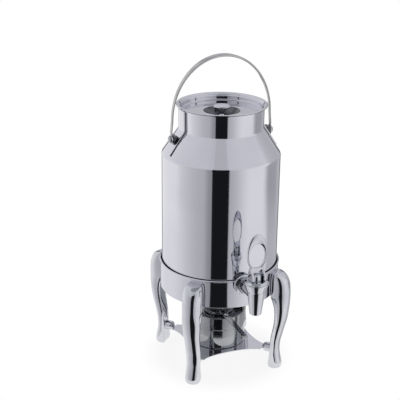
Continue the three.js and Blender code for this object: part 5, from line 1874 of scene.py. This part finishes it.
@dataclass
class LoopTap:
    """The tap: rose and seals on the urn's wall, a tapered body with a cup, and the loop lever over its stem."""

    reach: float = 155.0
    shank_height: float = 185.0
    shank_radius: float = 8.0
    shank_bore: float = 5.0
    shank_end: float = 84.0
    rose_radius: float = 17.2
    rose_back: float = 105.1
    rose_front: float = 108.1
    rose_boss: float = 11.0
    rose_boss_end: float = 102.6
    nut_width: float = 24.0
    nut_thickness: float = 6.0
    backnut_front: float = 94.5
    spout_foot: float = 155.5
    spout_radius: float = 9.6
    spout_bore: float = 5.8
    barrel_radius: float = 14.6
    barrel: float = 196.5
    cup_foot_radius: float = 15.6
    cup_foot: float = 198.0
    cup_radius: float = 20.0
    cup: float = 209.4
    cup_rim: float = 2.0
    chamber_radius: float = 11.4
    chamber_waist: float = 7.9
    chamber_waist_height: float = 192.0
    seat: float = 174.5
    stem_radius: float = 2.4
    stem_head: float = 8.0
    stem_top: float = 227.5
    stem_foot: float = 181.1
    bonnet_height: float = 3.4
    bonnet_top_radius: float = 15.5
    bonnet_spigot: float = 6.0
    pin: float = 221.4
    pin_radius: float = 1.6
    cheek_inner: float = 8.3
    cheek_outer: float = 11.9
    cheek_heel: float = 8.5
    lever_top: float = 293.5
    lever_half_width: float = 17.2
    lever_thickness: float = 5.0
    lever_set_back: float = 1.5
    bridge_gap: float = 1.6
    loop_bottom: float = 229.0
    hole_bottom: float = 235.5
    hole_top: float = 277.0
    hole_half_width: float = 13.8
    lever_turn: float = math.radians(50)
    lift: float = 4.0

    @property
    def bonnet_seat(self) -> float:
        """Height of the face that the bonnet sits on."""
        return self.cup + self.cup_rim

    @property
    def bonnet_top(self) -> float:
        """Height of the bonnet's top."""
        return self.bonnet_seat + SEAT_GAP + self.bonnet_height

    def build(self) -> None:
        """Builds and dresses each piece."""
        dressed("tap_rose_polished", self._rose(), POLISHED_CASTING, Body.URN, ["tap_rose"])
        dressed("tap_body_mopped", self._tap_body(), POLISHED_CASTING, Body.URN, ["tap_body"])
        dressed("tap_bonnet_polished", self._bonnet(), POLISHED_CASTING, Body.URN, ["tap_bonnet"])
        locknut = self._nut(self.rose_front + SEAT_GAP + self.nut_thickness)
        dressed("tap_locknut_chamfered", locknut, TURNED_FASTENER, Body.URN, ["tap_locknut"])
        dressed("tap_backnut_chamfered", self._nut(self.backnut_front), TURNED_FASTENER, Body.URN, ["tap_backnut"])
        for node in ("tap_seal_outer", "tap_seal_inner", "tap_seat_cup"):
            redress(node, SILICONE)
        dressed("tap_stem_polished", self._stem(), POLISHED_CASTING, Body.TAP_STEM, ["tap_stem"])
        dressed("tap_lever_pin_turned", self._lever_pin(), TURNED_FASTENER, Body.TAP_STEM, ["tap_lever_pin"])
        dressed("tap_lever_polished", self._lever(), POLISHED_CASTING, Body.TAP_LEVER, ["tap_lever"])

    def _rose(self) -> Solid:
        """The round plate that hides the collar's slot, with its boss."""
        bore = self.shank_radius + SEAT_GAP
        profile = rounded([
            (bore, self.rose_boss_end),
            (self.rose_boss, self.rose_boss_end, 0.4),
            (self.rose_boss, self.rose_back),
            (self.rose_radius, self.rose_back, 0.4),
            (self.rose_radius, self.rose_front - 1.1, 0.6),
            (self.rose_radius - 1.3, self.rose_front, 0.8),
            (bore, self.rose_front),
        ])
        return forward(Solid.turned(profile, TURNED_SIDES), self.shank_height)

    def _nut(self, front: float) -> Solid:
        """A hexagon nut on the shank with turned chamfers.

        Args:
            front: The distance of its front face from the urn's axis.

        Returns:
            The nut.
        """
        corner = self.nut_width / math.sqrt(3)
        hexagon = arc((0, 0), (corner, corner), 0, FULL_TURN * 5 / 6, 5)
        back, flat = front - self.nut_thickness, self.nut_width / 2
        drop = (corner - flat) * math.tan(math.radians(30))
        envelope = [
            (0, back), (flat, back), (corner + 0.05, back + drop),
            (corner + 0.05, front - drop), (flat, front), (0, front),
        ]
        nut = Solid.raised(hexagon, back, front).combined(Solid.turned(envelope, FINE_SIDES), Combine.KEEP)
        bore = Solid.bar(self.shank_radius + SEAT_GAP, back - 5, front + 5)
        return forward(nut.combined(bore, Combine.CUT), self.shank_height)

    def _tap_body(self) -> Solid:
        """The tapered spout that widens to a barrel and a cup, with the shank out of its back."""
        outline = rounded([
            (0, self.spout_foot),
            (self.spout_radius, self.spout_foot, 1.2),
            (self.barrel_radius, self.barrel, 3.0),
            (self.cup_foot_radius, self.cup_foot, 1.0),
            (self.cup_radius, self.cup, 2.0),
            (self.cup_radius, self.bonnet_seat, 0.6),
            (0, self.bonnet_seat),
        ])
        body = Solid.turned(outline, TURNED_SIDES).shifted(y=-self.reach)
        inner_end = self.reach - self.chamber_waist
        shank = forward(Solid.bar(self.shank_radius, self.shank_end, inner_end, 0.6), self.shank_height)
        neck_from = self.rose_front + 2 * SEAT_GAP + self.nut_thickness
        neck = forward(Solid.bar(self.shank_radius + 0.9, neck_from, inner_end, 0.5), self.shank_height)
        waist = self.chamber_waist_height
        chamber = Solid.turned([
            (0, self.seat),
            (self.chamber_waist, self.seat),
            (self.chamber_waist, waist),
            (self.chamber_radius, waist + self.chamber_radius - self.chamber_waist),
            (self.chamber_radius, self.bonnet_seat + 2),
            (0, self.bonnet_seat + 2),
        ], FINE_SIDES).shifted(y=-self.reach)
        outlet = Solid.bar(self.spout_bore, self.spout_foot - 2, self.seat + 2).shifted(y=-self.reach)
        inlet = forward(Solid.bar(self.shank_bore, self.shank_end - 2, self.reach), self.shank_height)
        body.combined(shank, Combine.UNION).combined(neck, Combine.UNION)
        return body.combined(chamber, Combine.CUT).combined(outlet, Combine.CUT).combined(inlet, Combine.CUT)

    def _bonnet(self) -> Solid:
        """The low cone that closes the cup and guides the stem."""
        bore = self.stem_radius + SEAT_GAP
        seat = self.bonnet_seat + SEAT_GAP
        spigot = self.chamber_radius - SEAT_GAP
        profile = rounded([
            (bore, seat - self.bonnet_spigot),
            (spigot, seat - self.bonnet_spigot, 0.5),
            (spigot, seat),
            (self.cup_radius - 0.6, seat, 0.2),
            (self.cup_radius - 1.2, seat + 1.2, 0.6),
            (self.bonnet_top_radius, self.bonnet_top, 1.2),
            (bore, self.bonnet_top),
        ])
        return Solid.turned(profile, TURNED_SIDES).shifted(y=-self.reach)

    def _stem(self) -> Solid:
        """The rod with its domed head, bored across for the lever's pin."""
        head = self.bonnet_top + SEAT_GAP
        rise = self.stem_head * 0.8
        dome = arc((0, self.stem_top - rise), (self.stem_head, rise), 0, QUARTER_TURN, 20)
        profile = [
            (0, self.stem_foot), (self.stem_radius, self.stem_foot), (self.stem_radius, head),
            *rounded([(self.stem_radius, head), (self.stem_head, head, 0.8), dome[0]])[1:], *dome[1:-1],
            (0, self.stem_top),
        ]
        hole = Solid.bar(self.pin_radius + SEAT_GAP, -20, 20).turned_by(QUARTER_TURN, "Y").shifted(z=self.pin)
        return Solid.turned(profile, FINE_SIDES * 2).combined(hole, Combine.CUT).shifted(y=-self.reach)

    def _lever_pin(self) -> Solid:
        """The pin that joins the stem's head and the lever's cheeks."""
        end = self.cheek_outer + self.pin_radius / 2
        pin = Solid.bar(self.pin_radius, -end, end, 0.4).turned_by(QUARTER_TURN, "Y")
        return pin.shifted(y=-self.reach, z=self.pin)

    def _cheek_outline(self) -> Line:
        """A cheek's outline about the pin, forward and up: its foot is a cam that lifts the stem evenly."""
        pitch = self.lift / self.lever_turn
        drop = self.pin - self.bonnet_top - SEAT_GAP
        cam: Line = []
        for i in range(25):
            angle = self.lever_turn * i / 24
            reach = drop + pitch * angle
            cam.append((
                reach * math.sin(angle) + pitch * math.cos(angle),
                -reach * math.cos(angle) + pitch * math.sin(angle),
            ))
        toe = cam[-1][0]
        top = self.loop_bottom + self.lever_thickness - self.pin
        waist = (self.stem_top + self.bridge_gap - self.pin) / 2
        half, back = self.lever_thickness / 2, self.lever_set_back
        sides = rounded([
            cam[-1], (toe, waist, 3.0), (half - back, top), (-half - back, top), (-self.cheek_heel, waist, 3.0),
            (-self.cheek_heel, -drop),
        ])
        return [(-self.cheek_heel, -drop), *cam[:-1], *sides[:-1]]

    def _loop(self) -> Solid:
        """The oval loop, thin at its sides and broad and softly domed at its crown."""
        outer = ((self.loop_bottom + self.lever_top) / 2, (self.lever_top - self.loop_bottom) / 2)
        inner = ((self.hole_bottom + self.hole_top) / 2, (self.hole_top - self.hole_bottom) / 2)
        half = self.lever_thickness / 2
        rings = []
        for i in range(96):
            turn = FULL_TURN * i / 96
            near = Vector((self.hole_half_width * math.cos(turn), inner[0] + inner[1] * math.sin(turn)))
            far = Vector((self.lever_half_width * math.cos(turn), outer[0] + outer[1] * math.sin(turn)))
            middle, reach = (near + far) / 2, (far - near) / 2
            ring = []
            for k in range(28):
                angle = FULL_TURN * k / 28
                point = middle + reach * math.cos(angle)
                ring.append(Vector((point.x, math.sin(angle) * half + self.lever_set_back, point.y)))
            rings.append(ring)
        return Solid.lofted(rings, closed=True)

    def _lever(self) -> Solid:
        """The loop, the bridge over the stem and the two cheeks with cam feet."""
        half = self.lever_thickness / 2
        low, high = self.stem_top + self.bridge_gap, self.hole_bottom + 1
        wide = self.cheek_outer
        bridge = Solid.raised([(-wide, -half), (wide, -half), (wide, half), (-wide, half)], low, high)
        bridge.bevelled(0.7, 3).shifted(y=self.lever_set_back)
        lever = self._loop().combined(bridge, Combine.UNION)
        hole = Solid.bar(self.pin_radius + SEAT_GAP, -20, 20).turned_by(QUARTER_TURN, "Y")
        for near, far in ((self.cheek_inner, self.cheek_outer), (-self.cheek_outer, -self.cheek_inner)):
            cheek = Solid.raised(self._cheek_outline(), near, far).bevelled(0.5, 3, math.radians(50))
            cheek.turned_by(QUARTER_TURN, "X").turned_by(-QUARTER_TURN).shifted(z=self.pin)
            lever.combined(cheek, Combine.UNION)
        return lever.combined(hole.shifted(z=self.pin), Combine.CUT).shifted(y=-self.reach)


def main() -> None:
    """Builds the studio and each sub-assembly in order."""
    logging.basicConfig(level=logging.INFO, format="%(message)s")
    shop = Workshop()
    Studio().build()
    for part in (
        UrnVessel(shop), BailHandle(), PlugLid(shop), StandCollar(shop), CabrioleLegs(), StandPlate(shop),
        SpiritBurner(shop), LoopTap(),
    ):
        part.build()


if __name__ == "__main__":
    main()
